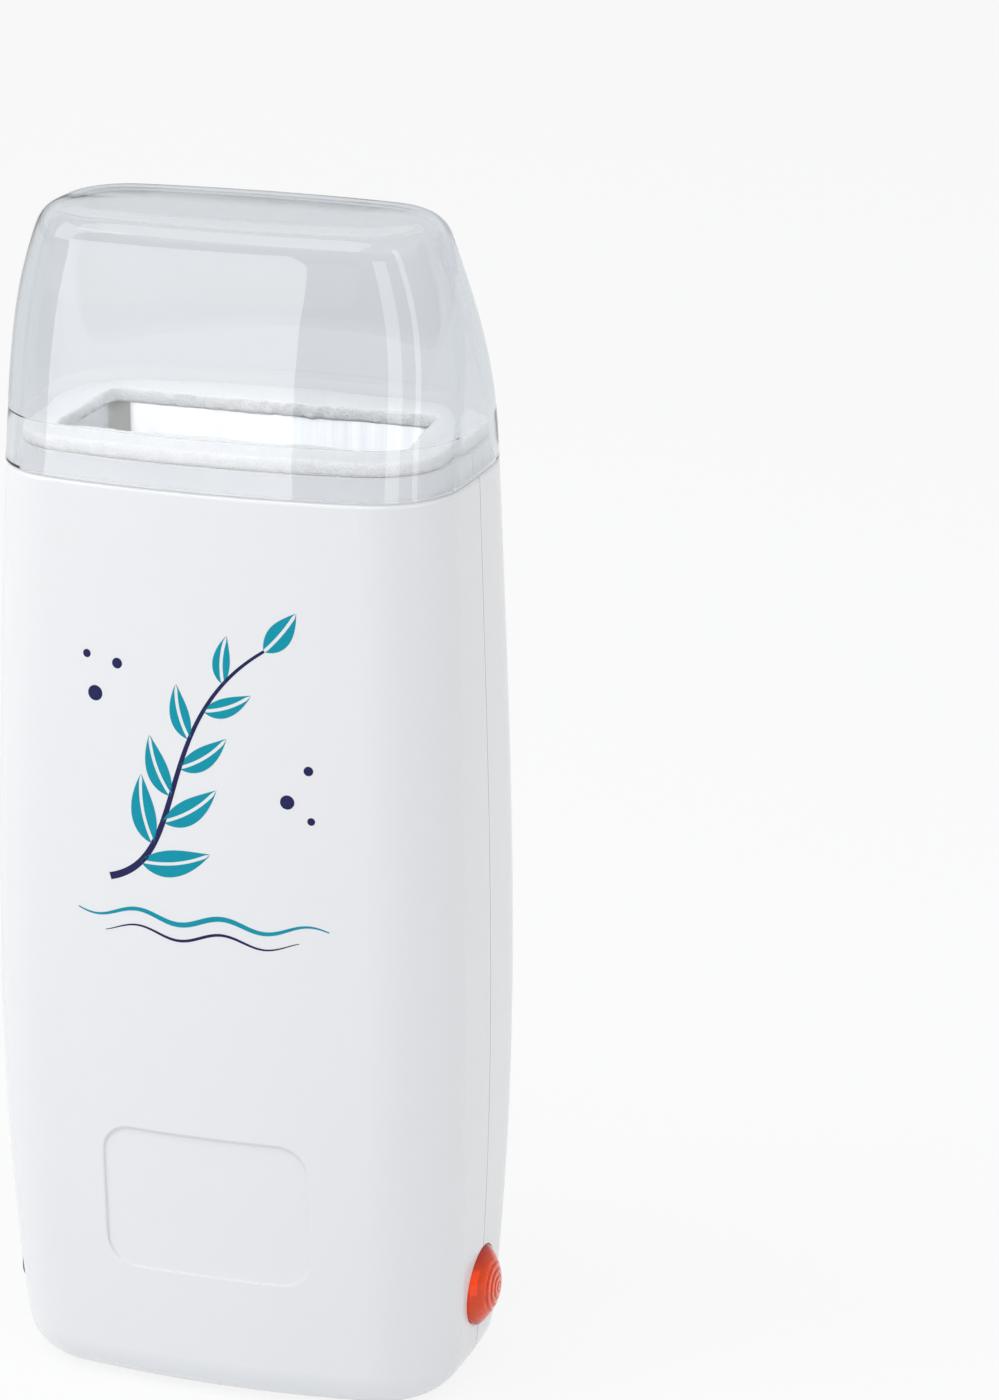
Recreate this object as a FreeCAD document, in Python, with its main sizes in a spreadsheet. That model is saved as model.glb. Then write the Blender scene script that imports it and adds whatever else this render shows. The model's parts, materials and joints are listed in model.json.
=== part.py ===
"""Roll-on wax cartridge heater: a two-part white housing with an aluminium-lined well,
a foam gasket round its mouth, a clear lift-off cover, a mains inlet and a pilot lamp.

Frame: +X to the right seen from the front, +Y to the back, +Z up.
The origin is on the floor, under the middle of the well.
"""
import FreeCAD, Part
import math
import os
import re

import Sketcher
from FreeCAD import Placement, Rotation, Vector

doc = FreeCAD.newDocument("cartridge_heater")
sheet = doc.addObject("Spreadsheet::Sheet", "Sizes")

# Driving sizes in millimetres: name, value, what it is.
SIZES = [
    # housing, outside
    ("body_height", 160.0, "floor to the shoulder under the cover"),
    ("low_level", 53.0, "height of the lower outline"),
    ("high_level", 107.0, "height of the upper outline"),
    ("rim_side", 9.3, "side of the well to the outer face at the shoulder"),
    ("rim_face", 12.1, "front or back of the well to the outer face at the shoulder"),
    ("foot_slim", 1.0, "width lost from the shoulder to the floor, before rounding"),
    ("low_bulge", 4.4, "width gained from the shoulder to the lower outline"),
    ("high_bulge", 3.5, "width gained from the shoulder to the upper outline"),
    ("foot_thin", 5.6, "depth lost from the shoulder to the floor, before rounding"),
    ("low_swell", 3.9, "depth gained from the shoulder to the lower outline"),
    ("high_swell", 4.0, "depth gained from the shoulder to the upper outline"),
    ("plan_corner", 14.8, "corner radius in plan"),
    ("side_arc", 184.0, "radius of the bulged sides in plan"),
    ("face_arc", 169.0, "radius of the bulged front and back in plan"),
    ("wall", 2.2, "housing wall"),
    ("foot_round", 8.0, "rounding of the bottom edge"),
    ("shoulder_round", 0.8, "rounding of the shoulder edge"),
    ("shoulder_web", 2.5, "thickness of the shoulder"),
    ("seam_gap", 0.24, "gap between the two halves"),
    ("neck_inset", 2.1, "neck to the outer face"),
    ("neck_wall", 1.8, "neck wall"),
    ("neck_height", 3.8, "neck above the shoulder"),
    # label recess
    ("label_width", 36.2, "width of the label recess"),
    ("label_bottom", 23.6, "height of its lower edge"),
    ("label_top", 49.4, "height of its upper edge"),
    ("label_corner", 5.0, "its corner radius"),
    ("label_depth", 0.3, "its depth"),
    # case screws
    ("screw_inset", 4.3, "screws in from the side of the shoulder"),
    ("screw_low", 34.0, "height of the lower screws"),
    ("screw_drop", 32.0, "upper screws below the shoulder"),
    ("screw_shank", 2.5, "mean diameter of the thread"),
    ("screw_length", 19.0, "length under the head"),
    ("screw_head", 5.6, "head diameter"),
    ("screw_head_height", 2.0, "head height"),
    ("screw_well", 6.2, "diameter of the hole the head sits in"),
    ("screw_seat", 14.0, "seat of the head behind the seam"),
    ("boss_size", 6.8, "screw boss diameter"),
    ("screw_spare", 2.0, "pilot bore past the screw's tip"),
    # cover
    ("cover_gap", 0.25, "gap between the cover and the shoulder"),
    ("cover_rise", 42.6, "top of the cover above the shoulder"),
    ("skirt_wall", 1.4, "wall of the cover's skirt"),
    ("dome_wall", 2.1, "wall above the step"),
    ("crown_wall", 1.4, "wall of the cover's top"),
    ("step_rise", 8.2, "step inside the cover, above the shoulder"),
    ("dome_rise", 25.0, "middle outline, above the shoulder"),
    ("step_slim", 0.2, "width lost from the shoulder to the step"),
    ("dome_slim", 2.0, "width lost from the shoulder to the middle outline"),
    ("crown_slim", 13.4, "width lost from the shoulder to the top, before rounding"),
    ("step_thin", 2.4, "depth lost from the shoulder to the step"),
    ("dome_thin", 12.3, "depth lost from the shoulder to the middle outline"),
    ("crown_thin", 17.6, "depth lost from the shoulder to the top, before rounding"),
    ("dome_forward", 2.1, "how far the middle outline sits forward"),
    ("crown_forward", 3.2, "how far the top sits forward"),
    ("crown_flat", 3.9, "half of the straight end left between the corners at the top"),
    ("crown_round", 5.2, "rounding of the top edge"),
    # well and its lining
    ("well_width", 60.0, "clear width between the plates"),
    ("well_depth", 27.0, "clear depth between the plates"),
    ("well_floor", 54.0, "height of the floor the cartridge stands on"),
    ("plate_sheet", 1.0, "aluminium sheet thickness"),
    ("plate_bend", 1.5, "inner bend radius"),
    ("plate_gap", 2.2, "open gap between the rear plate and each side"),
    ("flange_reach", 4.5, "stiffening flange of the rear plate"),
    ("foam_over_side", 0.5, "how far the foam overhangs the well at its sides"),
    ("foam_over_face", 0.7, "how far it overhangs the front and back"),
    ("foam_sheet", 2.4, "foam thickness"),
    ("foam_inset", 2.8, "foam's outer edge to the housing's outer face"),
    ("fit_gap", 0.2, "clearance round pieces that drop in"),
    # deck frame
    ("deck_sheet", 2.2, "thickness of the deck"),
    ("deck_drop", 8.6, "height of the deck frame"),
    ("deck_wall", 1.6, "walls of the deck frame"),
    ("deck_catch", 1.4, "how far its flange catches under the shoulder"),
    ("rib_sheet", 2.0, "ribs under the deck frame"),
    ("rib_height", 15.0, "height of those ribs"),
    ("rib_spread", 40.0, "distance between the ribs"),
    ("rib_start", 20.0, "ribs from the seam outwards"),
    # cradle
    ("cradle_wall", 1.8, "walls of the cradle"),
    ("cradle_floor", 3.0, "thickness of the cradle's floor"),
    ("cradle_rise", 8.0, "walls above the floor"),
    ("shelf_sheet", 2.0, "housing brackets under the cradle"),
    ("shelf_catch", 4.0, "how far the brackets reach in under the ends of the plates"),
    # heating element
    ("element_margin", 15.0, "from the element to each side of the well"),
    ("element_thick", 4.6, "element thickness"),
    ("element_lift", 14.0, "element above the cradle"),
    ("element_drop", 17.2, "its top below the deck frame"),
    ("pad_sheet", 0.5, "insulating sheet"),
    ("clamp_sheet", 0.8, "spring strap thickness"),
    ("clamp_width", 14.0, "strap width, up and down"),
    ("clamp_foot", 5.5, "length of each strap foot"),
    ("rivet_size", 3.0, "rivet shank diameter"),
    ("rivet_head", 4.6, "rivet head diameter"),
    ("rivet_rise", 1.0, "rivet head height"),
    ("terminal_length", 3.0, "wire ends of the element and the fuse"),
    ("fuse_size", 4.0, "fuse body diameter"),
    ("fuse_length", 12.0, "fuse body length"),
    ("fuse_rise", 5.0, "fuse above the element"),
    ("felt_sheet", 1.5, "insulation felt thickness"),
    ("felt_width", 48.0, "felt width"),
    ("felt_lift", 2.0, "felt above the cradle"),
    # pilot lamp
    ("lens_height", 17.1, "height of the lens"),
    ("lens_sink", 0.6, "flat seat of the lens below the housing's face"),
    ("lens_size", 13.9, "lens diameter"),
    ("lens_rise", 3.85, "dome above its seat"),
    ("lens_rim", 0.9, "edge of the dome"),
    ("lens_barrel", 10.8, "barrel diameter"),
    ("lens_bore", 8.8, "bore of the barrel"),
    ("lens_bead", 0.5, "bead that snaps behind the wall"),
    ("lens_depth", 6.0, "barrel length"),
    ("ring_rise", 0.7, "height of the moulded rings"),
    ("ring_count", 4, "number of moulded rings"),
    ("lamp_size", 6.0, "lamp diameter"),
    ("lamp_length", 13.0, "lamp length"),
    ("lamp_clear", 1.2, "lamp tip to the moulded rings"),
    ("resistor_size", 2.4, "resistor diameter"),
    ("resistor_length", 6.5, "resistor length"),
    ("resistor_gap", 3.0, "bare wire at each end of the resistor"),
    ("resistor_wire", 0.8, "wire diameter"),
    # mains inlet
    ("inlet_height", 15.7, "height of the inlet"),
    ("inlet_proud", 1.0, "inlet face in front of the housing's face"),
    ("inlet_width", 18.6, "inlet block, front to back"),
    ("inlet_tall", 11.2, "inlet block, up and down"),
    ("inlet_corner", 2.8, "its corner radius"),
    ("inlet_round", 0.6, "rounding round its face"),
    ("inlet_depth", 17.0, "its depth"),
    ("inlet_lip", 1.0, "flange inside the wall"),
    ("socket_lobe", 8.2, "diameter of each lobe of the socket"),
    ("socket_spread", 7.2, "distance between the lobes' centres"),
    ("socket_waist", 6.2, "height of the socket at its waist"),
    ("socket_depth", 13.0, "depth of the socket"),
    ("pin_size", 2.36, "pin diameter"),
    ("pin_root", 3.0, "pin diameter inside the block"),
    ("pin_spread", 8.6, "distance between the pins"),
    ("pin_short", 3.0, "pin tips behind the face"),
    ("tag_length", 6.0, "solder tags behind the block"),
    # wiring
    ("lead_size", 2.0, "insulated lead diameter"),
    ("lead_bend", 5.0, "bend radius of the leads"),
    ("lead_across", 23.0, "height at which the leads cross behind the inlet"),
    ("lead_clear", 0.8, "outer leads to the feet of the spring strap"),
    ("cap_place", -4.8, "splice caps from the middle plane"),
    ("cap_level", 31.0, "height of their open ends"),
    ("cap_size", 5.6, "cap diameter"),
    ("cap_length", 10.0, "cap length"),
    ("cap_round", 2.0, "rounding of their closed ends"),
]


def fill_sheet():
    """Write each size as a plain number with its alias and meaning."""
    for row, (alias, value, meaning) in enumerate(SIZES, start=1):
        sheet.set(f"A{row}", alias)
        sheet.set(f"B{row}", str(value))
        sheet.set(f"C{row}", meaning)
        sheet.setAlias(f"B{row}", alias)
    doc.recompute()


fill_sheet()
ALIASES = {alias for alias, _, _ in SIZES}
exported = []


def bound(expression):
    """Spell an expression of size names the way other objects read them."""
    return re.sub(r"[a-z][a-z_]*", lambda m: f"Sizes.{m[0]}" if m[0] in ALIASES else m[0], str(expression))


def number(expression):
    """The present value of an expression of size names."""
    found = sheet.evalExpression(bound(expression))
    return float(getattr(found, "Value", found))


def export(item):
    """Mark a finished object as one sub-part of the heater."""
    exported.append(item)
    return item


# ---------------------------------------------------------------- sketch helpers

def new_body(label):
    body = doc.addObject("PartDesign::Body", label)
    body.Label = label
    body.AllowCompound = True
    return body


def new_sketch(body, plane, name, offset="0", rise="0"):
    """A sketch on one of the body's own planes, moved along its normal and its second axis."""
    base = next(item for item in body.Origin.OriginFeatures if item.Role == plane)
    sketch = body.newObject("Sketcher::SketchObject", name)
    sketch.AttachmentSupport = [(base, "")]
    sketch.MapMode = "FlatFace"
    sketch.setExpression("AttachmentOffset.Base.z", bound(offset))
    sketch.setExpression("AttachmentOffset.Base.y", bound(rise))
    return sketch


def dimension(sketch, kind, places, expression):
    """Add a driving dimension and bind it to an expression of sizes."""
    index = sketch.addConstraint(Sketcher.Constraint(kind, *places, number(expression)))
    name = f"{kind.lower()}_{index}"
    sketch.renameConstraint(index, name)
    sketch.setExpression(f"Constraints.{name}", bound(expression))


def locate(sketch, geometry, point, x, y):
    """Hold a point at x, y from the sketch's origin; either may be None."""
    for kind, axis, value in (("DistanceX", -2, x), ("DistanceY", -1, y)):
        if value is None:
            continue
        if abs(number(value)) < 1e-9:
            sketch.addConstraint(Sketcher.Constraint("PointOnObject", geometry, point, axis))
        elif number(value) > 0:
            dimension(sketch, kind, (-1, 1, geometry, point), value)
        else:
            dimension(sketch, kind, (geometry, point, -1, 1), f"-({value})")


def polygon(sketch, corners):
    """A closed outline of straight lines through corners given as expressions."""
    points = [Vector(number(x), number(y), 0) for x, y in corners]
    first = sketch.GeometryCount
    for here, there in zip(points, points[1:] + points[:1]):
        sketch.addGeometry(Part.LineSegment(here, there), False)
    for k, (x, y) in enumerate(corners):
        before = first + (k - 1) % len(corners)
        sketch.addConstraint(Sketcher.Constraint("Coincident", before, 2, first + k, 1))
        locate(sketch, first + k, 1, x, y)


def rectangle(sketch, left, bottom, right, top):
    polygon(sketch, [(left, bottom), (right, bottom), (right, top), (left, top)])


def circle(sketch, x, y, diameter):
    centre = Vector(number(x), number(y), 0)
    index = sketch.addGeometry(Part.Circle(centre, Vector(0, 0, 1), number(diameter) / 2), False)
    locate(sketch, index, 3, x, y)
    dimension(sketch, "Diameter", (index,), diameter)


def rounded_rectangle(sketch, left, bottom, right, top, radius):
    """A rectangle with four equal round corners."""
    x0, y0, x1, y1, r = (number(v) for v in (left, bottom, right, top, radius))
    first = sketch.GeometryCount
    sides = [((x0 + r, y0), (x1 - r, y0)), ((x1, y0 + r), (x1, y1 - r)),
             ((x1 - r, y1), (x0 + r, y1)), ((x0, y1 - r), (x0, y0 + r))]
    for start, end in sides:
        sketch.addGeometry(Part.LineSegment(Vector(*start, 0), Vector(*end, 0)), False)
    centres = [(x1 - r, y0 + r), (x1 - r, y1 - r), (x0 + r, y1 - r), (x0 + r, y0 + r)]
    for k, centre in enumerate(centres):
        turn = math.radians(90 * k - 90)
        ring = Part.Circle(Vector(*centre, 0), Vector(0, 0, 1), r)
        sketch.addGeometry(Part.ArcOfCircle(ring, turn, turn + math.pi / 2), False)
    for k in range(4):
        arc = first + 4 + k
        sketch.addConstraint(Sketcher.Constraint("Tangent", first + k, 2, arc, 1))
        sketch.addConstraint(Sketcher.Constraint("Tangent", arc, 2, first + (k + 1) % 4, 1))
        if k:
            sketch.addConstraint(Sketcher.Constraint("Equal", first + 4, arc))
    for k in (0, 2):
        sketch.addConstraint(Sketcher.Constraint("Horizontal", first + k))
        sketch.addConstraint(Sketcher.Constraint("Vertical", first + k + 1))
    dimension(sketch, "Radius", (first + 4,), radius)
    locate(sketch, first, 1, None, bottom)
    locate(sketch, first + 1, 1, right, None)
    locate(sketch, first + 2, 1, None, top)
    locate(sketch, first + 3, 1, left, None)


# ---------------------------------------------------------------- the plan outline

def corner_centre(half_width, half_depth, corner, side, face):
    """Centre of the corner arc that touches a side arc and a face arc, and the two touch angles."""
    side_centre = Vector(half_width - side, 0, 0)
    face_centre = Vector(0, half_depth - face, 0)
    across = face_centre - side_centre
    reach_side, reach_face = side - corner, face - corner
    along = (reach_side ** 2 - reach_face ** 2 + across.Length ** 2) / (2 * across.Length)
    off = math.sqrt(reach_side ** 2 - along ** 2)
    unit = across / across.Length
    centre = side_centre + unit * along + Vector(-unit.y, unit.x, 0) * off
    touch_side = math.atan2(centre.y, centre.x - side_centre.x)
    touch_face = math.atan2(centre.y - face_centre.y, centre.x)
    return centre, touch_side, touch_face


def plan_arcs(half_width, half_depth, corner, side, face, forward):
    """The eight arcs of a bulged, rounded outline, anticlockwise from the right-hand side."""
    centre, low, high = corner_centre(half_width, half_depth, corner, side, face)
    x, y = centre.x, centre.y
    full = math.pi
    spans = [((half_width - side, 0), side, -low, low),
             ((x, y), corner, low, high),
             ((0, half_depth - face), face, high, full - high),
             ((-x, y), corner, full - high, full - low),
             ((side - half_width, 0), side, full - low, full + low),
             ((-x, -y), corner, full + low, full + high),
             ((0, face - half_depth), face, full + high, 2 * full - high),
             ((x, -y), corner, 2 * full - high, 2 * full - low)]
    for (cx, cy), radius, start, end in spans:
        yield Part.Circle(Vector(cx, cy - forward, 0), Vector(0, 0, 1), radius), start, end


def outline(sketch, width, depth, inset="0", corner="plan_corner", forward="0"):
    """Draw the whole outline, set in from a width and depth by an even inset."""
    half_width, half_depth = f"(({width}) / 2 - ({inset}))", f"(({depth}) / 2 - ({inset}))"
    radii = [f"side_arc - ({inset})", f"({corner}) - ({inset})", f"face_arc - ({inset})"]
    side, corner_radius, face = (number(r) for r in radii)
    arcs = plan_arcs(number(half_width), number(half_depth), corner_radius, side, face, number(forward))
    first = sketch.GeometryCount
    for ring, start, end in arcs:
        sketch.addGeometry(Part.ArcOfCircle(ring, start, end), False)
    for k in range(8):
        sketch.addConstraint(Sketcher.Constraint("Tangent", first + k, 2, first + (k + 1) % 8, 1))
    for one, same in ((0, 4), (2, 6), (1, 3), (1, 5), (1, 7)):
        sketch.addConstraint(Sketcher.Constraint("Equal", first + one, first + same))
    for k, radius in enumerate(radii):
        dimension(sketch, "Radius", (first + k,), radius)
    locate(sketch, first, 3, f"{half_width} - ({radii[0]})", f"-({forward})")
    locate(sketch, first + 4, 3, f"({radii[0]}) - {half_width}", f"-({forward})")
    locate(sketch, first + 2, 3, "0", f"{half_depth} - ({radii[2]}) - ({forward})")
    locate(sketch, first + 6, 3, "0", f"({radii[2]}) - {half_depth} - ({forward})")


def half_outline(sketch, side_of_seam, width, depth, inset="0"):
    """Draw the front (-1) or rear (+1) half of the outline, closed by a straight line at the seam."""
    half_width, half_depth = f"(({width}) / 2 - ({inset}))", f"(({depth}) / 2 - ({inset}))"
    radii = [f"side_arc - ({inset})", f"plan_corner - ({inset})", f"face_arc - ({inset})"]
    side, corner_radius, face = (number(r) for r in radii)
    arcs = list(plan_arcs(number(half_width), number(half_depth), corner_radius, side, face, 0))
    edge = number("seam_gap / 2")
    lean = math.asin(edge / side)
    if side_of_seam > 0:
        chosen = [arcs[0], arcs[1], arcs[2], arcs[3], arcs[4]]
        chosen[0] = (arcs[0][0], lean, arcs[0][2])
        chosen[4] = (arcs[4][0], arcs[4][1], math.pi - lean)
    else:
        chosen = [arcs[4], arcs[5], arcs[6], arcs[7], arcs[0]]
        chosen[0] = (arcs[4][0], math.pi + lean, arcs[4][2])
        chosen[4] = (arcs[0][0], 2 * math.pi + arcs[0][1], 2 * math.pi - lean)
    for ring, start, end in chosen:
        sketch.addGeometry(Part.ArcOfCircle(ring, start, end), False)
    reach = side * math.cos(lean) - (side - number(half_width))
    ends = (-reach, reach) if side_of_seam > 0 else (reach, -reach)
    seam = side_of_seam * edge
    sketch.addGeometry(Part.LineSegment(Vector(ends[0], seam, 0), Vector(ends[1], seam, 0)), False)
    for k in range(4):
        sketch.addConstraint(Sketcher.Constraint("Tangent", k, 2, k + 1, 1))
    sketch.addConstraint(Sketcher.Constraint("Coincident", 4, 2, 5, 1))
    sketch.addConstraint(Sketcher.Constraint("Coincident", 5, 2, 0, 1))
    sketch.addConstraint(Sketcher.Constraint("Horizontal", 5))
    locate(sketch, 5, 1, None, f"{side_of_seam} * seam_gap / 2")
    sketch.addConstraint(Sketcher.Constraint("Equal", 0, 4))
    sketch.addConstraint(Sketcher.Constraint("Equal", 1, 3))
    for k, radius in enumerate(radii):
        dimension(sketch, "Radius", (k,), radius)
    toward = f"{side_of_seam} * ({half_width} - ({radii[0]}))"
    locate(sketch, 0, 3, toward, "0")
    locate(sketch, 4, 3, f"-({toward})", "0")
    locate(sketch, 2, 3, "0", f"{side_of_seam} * ({half_depth} - ({radii[2]}))")


# ---------------------------------------------------------------- feature helpers

def pad(body, sketch, length, reverse=False):
    feature = body.newObject("PartDesign::Pad", f"{body.Label}_pad")
    feature.Profile = sketch
    feature.setExpression("Length", bound(length))
    feature.Reversed = reverse
    doc.recompute()
    return feature


def pocket(body, sketch, length, reverse=False):
    """Cut a sketch out of the body, and stop if nothing was cut."""
    before = body.Shape.Volume
    feature = body.newObject("PartDesign::Pocket", f"{body.Label}_pocket")
    feature.Profile = sketch
    feature.Reversed = reverse
    feature.setExpression("Length", bound(length))
    doc.recompute()
    if not body.Shape.Volume < before - 1e-6:
        raise ValueError(f"{feature.Name} in {body.Label} cuts nothing")
    return feature


def loft(body, sketches, cut=False):
    """A smooth loft through sketches given from the top down, so that its faces point outwards."""
    kind = "PartDesign::SubtractiveLoft" if cut else "PartDesign::AdditiveLoft"
    feature = body.newObject(kind, f"{body.Label}_loft")
    feature.Profile = sketches[0]
    feature.Sections = sketches[1:]
    feature.Ruled = False
    doc.recompute()
    return feature


def revolve(body, sketch, axis):
    feature = body.newObject("PartDesign::Revolution", f"{body.Label}_turn")
    feature.Profile = sketch
    feature.ReferenceAxis = (sketch, [axis])
    feature.Angle = 360
    doc.recompute()
    return feature


def round_edges(body, radius, wanted):
    """Fillet the edges of the body's present shape that the test picks."""
    tip = body.Tip
    names = [f"Edge{k}" for k, edge in enumerate(tip.Shape.Edges, start=1) if wanted(edge)]
    feature = body.newObject("PartDesign::Fillet", f"{body.Label}_round")
    feature.Base = (tip, names)
    feature.setExpression("Radius", bound(radius))
    doc.recompute()
    return feature


def level_edge(level, keep=lambda middle: True):
    """A test for edges that lie flat at a height."""
    height = number(level)

    def wanted(edge):
        box = edge.BoundBox
        flat = abs(box.ZMin - height) < 1e-3 and abs(box.ZMax - height) < 1e-3
        return flat and keep(box.Center)
    return wanted


def side_edge(place):
    """A test for edges that lie in a plane square to X."""
    distance = number(place)

    def wanted(edge):
        box = edge.BoundBox
        return abs(box.XMin - distance) < 1e-3 and abs(box.XMax - distance) < 1e-3
    return wanted


def between(first, last, share):
    """An expression part of the way from one size to the next."""
    return f"({first} + ({last} - {first}) * ({share}))"


# ---------------------------------------------------------------- housing halves

RIM_WIDTH, RIM_DEPTH = "(well_width + 2 * rim_side)", "(well_depth + 2 * rim_face)"
FOOT_WIDTH, FOOT_DEPTH = f"({RIM_WIDTH} - foot_slim)", f"({RIM_DEPTH} - foot_thin)"
LOW_WIDTH, LOW_DEPTH = f"({RIM_WIDTH} + low_bulge)", f"({RIM_DEPTH} + low_swell)"
HIGH_WIDTH, HIGH_DEPTH = f"({RIM_WIDTH} + high_bulge)", f"({RIM_DEPTH} + high_swell)"
STATIONS = [("0", FOOT_WIDTH, FOOT_DEPTH), ("low_level", LOW_WIDTH, LOW_DEPTH),
            ("high_level", HIGH_WIDTH, HIGH_DEPTH), ("body_height", RIM_WIDTH, RIM_DEPTH)]
WEB_UNDER = "(body_height - shoulder_web)"
NECK_TOP = "(body_height + neck_height)"
NECK_BORE = "neck_inset + neck_wall"
PLATE_X = "(well_width / 2 + plate_sheet)"
PLATE_Y = "(well_depth / 2 + plate_sheet)"


def side_face(level):
    """The housing's side from the middle plane at a height: the cubic through its four outlines."""
    terms = []
    for here, width, _ in STATIONS:
        share = " * ".join(f"({level} - {there}) / ({here} - {there})"
                           for there, _, _ in STATIONS if there != here)
        terms.append(f"{width} / 2 * {share}")
    return f"({' + '.join(terms)})"


LENS_SEAT = f"({side_face('lens_height')} - lens_sink)"
INLET_WALL = side_face("inlet_height")
INLET_FACE = f"({INLET_WALL} + inlet_proud)"


def inner_stations():
    """The outlines of the hollow: the housing's, with the ends moved to its floor and shoulder."""
    share = "wall / low_level"
    floor = ("wall", between(FOOT_WIDTH, LOW_WIDTH, share), between(FOOT_DEPTH, LOW_DEPTH, share))
    share = f"({WEB_UNDER} - high_level) / (body_height - high_level)"
    web = (WEB_UNDER, between(HIGH_WIDTH, RIM_WIDTH, share), between(HIGH_DEPTH, RIM_DEPTH, share))
    return [floor, STATIONS[1], STATIONS[2], web]


def housing_loft(body, side_of_seam, stations, inset, cut=False):
    sketches = []
    for level, width, depth in reversed(stations):
        sketch = new_sketch(body, "XY_Plane", f"{body.Label}_outline", level)
        half_outline(sketch, side_of_seam, width, depth, inset)
        sketches.append(sketch)
    doc.recompute()
    return loft(body, sketches, cut)


def screw_places():
    right = f"({RIM_WIDTH} / 2 - screw_inset)"
    levels = ("screw_low", "(body_height - screw_drop)")
    return [(side, level) for level in levels for side in (f"-{right}", right)]


def off_seam(middle):
    """True for an edge that isn't on the flat face at the seam."""
    return abs(middle.y) > number("seam_gap")


def core_rib(core, side_of_seam, start, left, bottom, right, top):
    """Leave a rib or bracket of the housing by cutting its room out of the core."""
    sketch = new_sketch(core, "XZ_Plane", f"{core.Label}_rib", f"{-side_of_seam} * ({start})")
    rectangle(sketch, left, bottom, right, top)
    pocket(core, sketch, LOW_DEPTH, reverse=side_of_seam < 0)


def housing_core(label, side_of_seam):
    """The hollow of one half, with the room for its bosses and shelves left out."""
    core = new_body(label)
    housing_loft(core, side_of_seam, inner_stations(), "wall")
    round_edges(core, "foot_round - wall", level_edge("wall", off_seam))
    for x, z in screw_places():
        boss = new_sketch(core, "XZ_Plane", f"{label}_boss")
        circle(boss, x, z, "boss_size")
        pocket(core, boss, LOW_DEPTH, reverse=side_of_seam < 0)
    shelf_top = "(well_floor - cradle_floor - fit_gap)"
    rib_top = f"({NECK_TOP} - deck_drop - fit_gap)"
    start = f"({PLATE_X} - shelf_catch)"
    for left, right in ((start, LOW_WIDTH), (f"-{LOW_WIDTH}", f"-{start}")):
        core_rib(core, side_of_seam, "well_depth / 2", left, f"{shelf_top} - shelf_sheet", right, shelf_top)
    for middle in ("-rib_spread / 2", "rib_spread / 2"):
        core_rib(core, side_of_seam, "rib_start", f"{middle} - rib_sheet / 2", f"{rib_top} - rib_height",
                 f"{middle} + rib_sheet / 2", rib_top)
    return core


def housing_half(label, side_of_seam):
    """One half: outer loft, neck, hollow, neck bore, and the holes for inlet and lens."""
    body = new_body(label)
    housing_loft(body, side_of_seam, STATIONS, "0")
    round_edges(body, "foot_round", level_edge("0", off_seam))
    round_edges(body, "shoulder_round", level_edge("body_height", off_seam))
    neck = new_sketch(body, "XY_Plane", f"{label}_neck", WEB_UNDER)
    half_outline(neck, side_of_seam, RIM_WIDTH, RIM_DEPTH, "neck_inset")
    pad(body, neck, "shoulder_web + neck_height")
    core = housing_core(f"{label}_core", side_of_seam)
    cut = body.newObject("PartDesign::Boolean", f"{label}_hollow")
    cut.Type = "Cut"
    cut.Group = [core]
    doc.recompute()
    bore = new_sketch(body, "XY_Plane", f"{label}_bore", NECK_TOP)
    half_outline(bore, side_of_seam, RIM_WIDTH, RIM_DEPTH, NECK_BORE)
    pocket(body, bore, "shoulder_web + neck_height + fit_gap")
    seat = new_sketch(body, "YZ_Plane", f"{label}_lens_seat", LENS_SEAT, "lens_height")
    circle(seat, "0", "0", "lens_size + 2 * fit_gap")
    pocket(body, seat, "lens_rise", reverse=True)
    hole = new_sketch(body, "YZ_Plane", f"{label}_lens_hole", LENS_SEAT, "lens_height")
    circle(hole, "0", "0", "lens_barrel + fit_gap")
    pocket(body, hole, "wall * 2")
    inside = f"-{INLET_WALL} + 2 * wall"
    opening = new_sketch(body, "YZ_Plane", f"{label}_inlet_hole", inside, "inlet_height")
    half_y, half_z = "(inlet_width / 2 + fit_gap / 2)", "(inlet_tall / 2 + fit_gap / 2)"
    rounded_rectangle(opening, f"-{half_y}", f"-{half_z}", half_y, half_z, "inlet_corner + fit_gap / 2")
    pocket(body, opening, "wall * 4")
    return body


def front_shell():
    body = housing_half("front_shell", -1)
    for x, z in screw_places():
        bore = new_sketch(body, "XZ_Plane", "front_pilot_bore")
        circle(bore, x, z, "screw_shank + fit_gap / 2")
        pocket(body, bore, "screw_length - screw_seat + screw_spare", reverse=True)
    cutter = new_body("label_cutter")
    face = new_sketch(cutter, "XZ_Plane", "label_outline", f"{FOOT_DEPTH} / 4")
    half = "label_width / 2"
    rounded_rectangle(face, f"-{half}", "label_bottom", half, "label_top", "label_corner")
    pad(cutter, face, f"{LOW_DEPTH} / 2")
    housing_loft(cutter, -1, STATIONS, "label_depth", cut=True)
    cut = body.newObject("PartDesign::Boolean", "label_recess")
    cut.Type = "Cut"
    cut.Group = [cutter]
    doc.recompute()
    return export(body)


def rear_shell():
    body = housing_half("rear_shell", 1)
    for x, z in screw_places():
        through = new_sketch(body, "XZ_Plane", "rear_screw_hole")
        circle(through, x, z, "screw_shank + 4 * fit_gap")
        pocket(body, through, LOW_DEPTH)
        sunk = new_sketch(body, "XZ_Plane", "rear_screw_well", "-screw_seat")
        circle(sunk, x, z, "screw_well")
        pocket(body, sunk, LOW_DEPTH)
    return export(body)


# ---------------------------------------------------------------- cover

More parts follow.
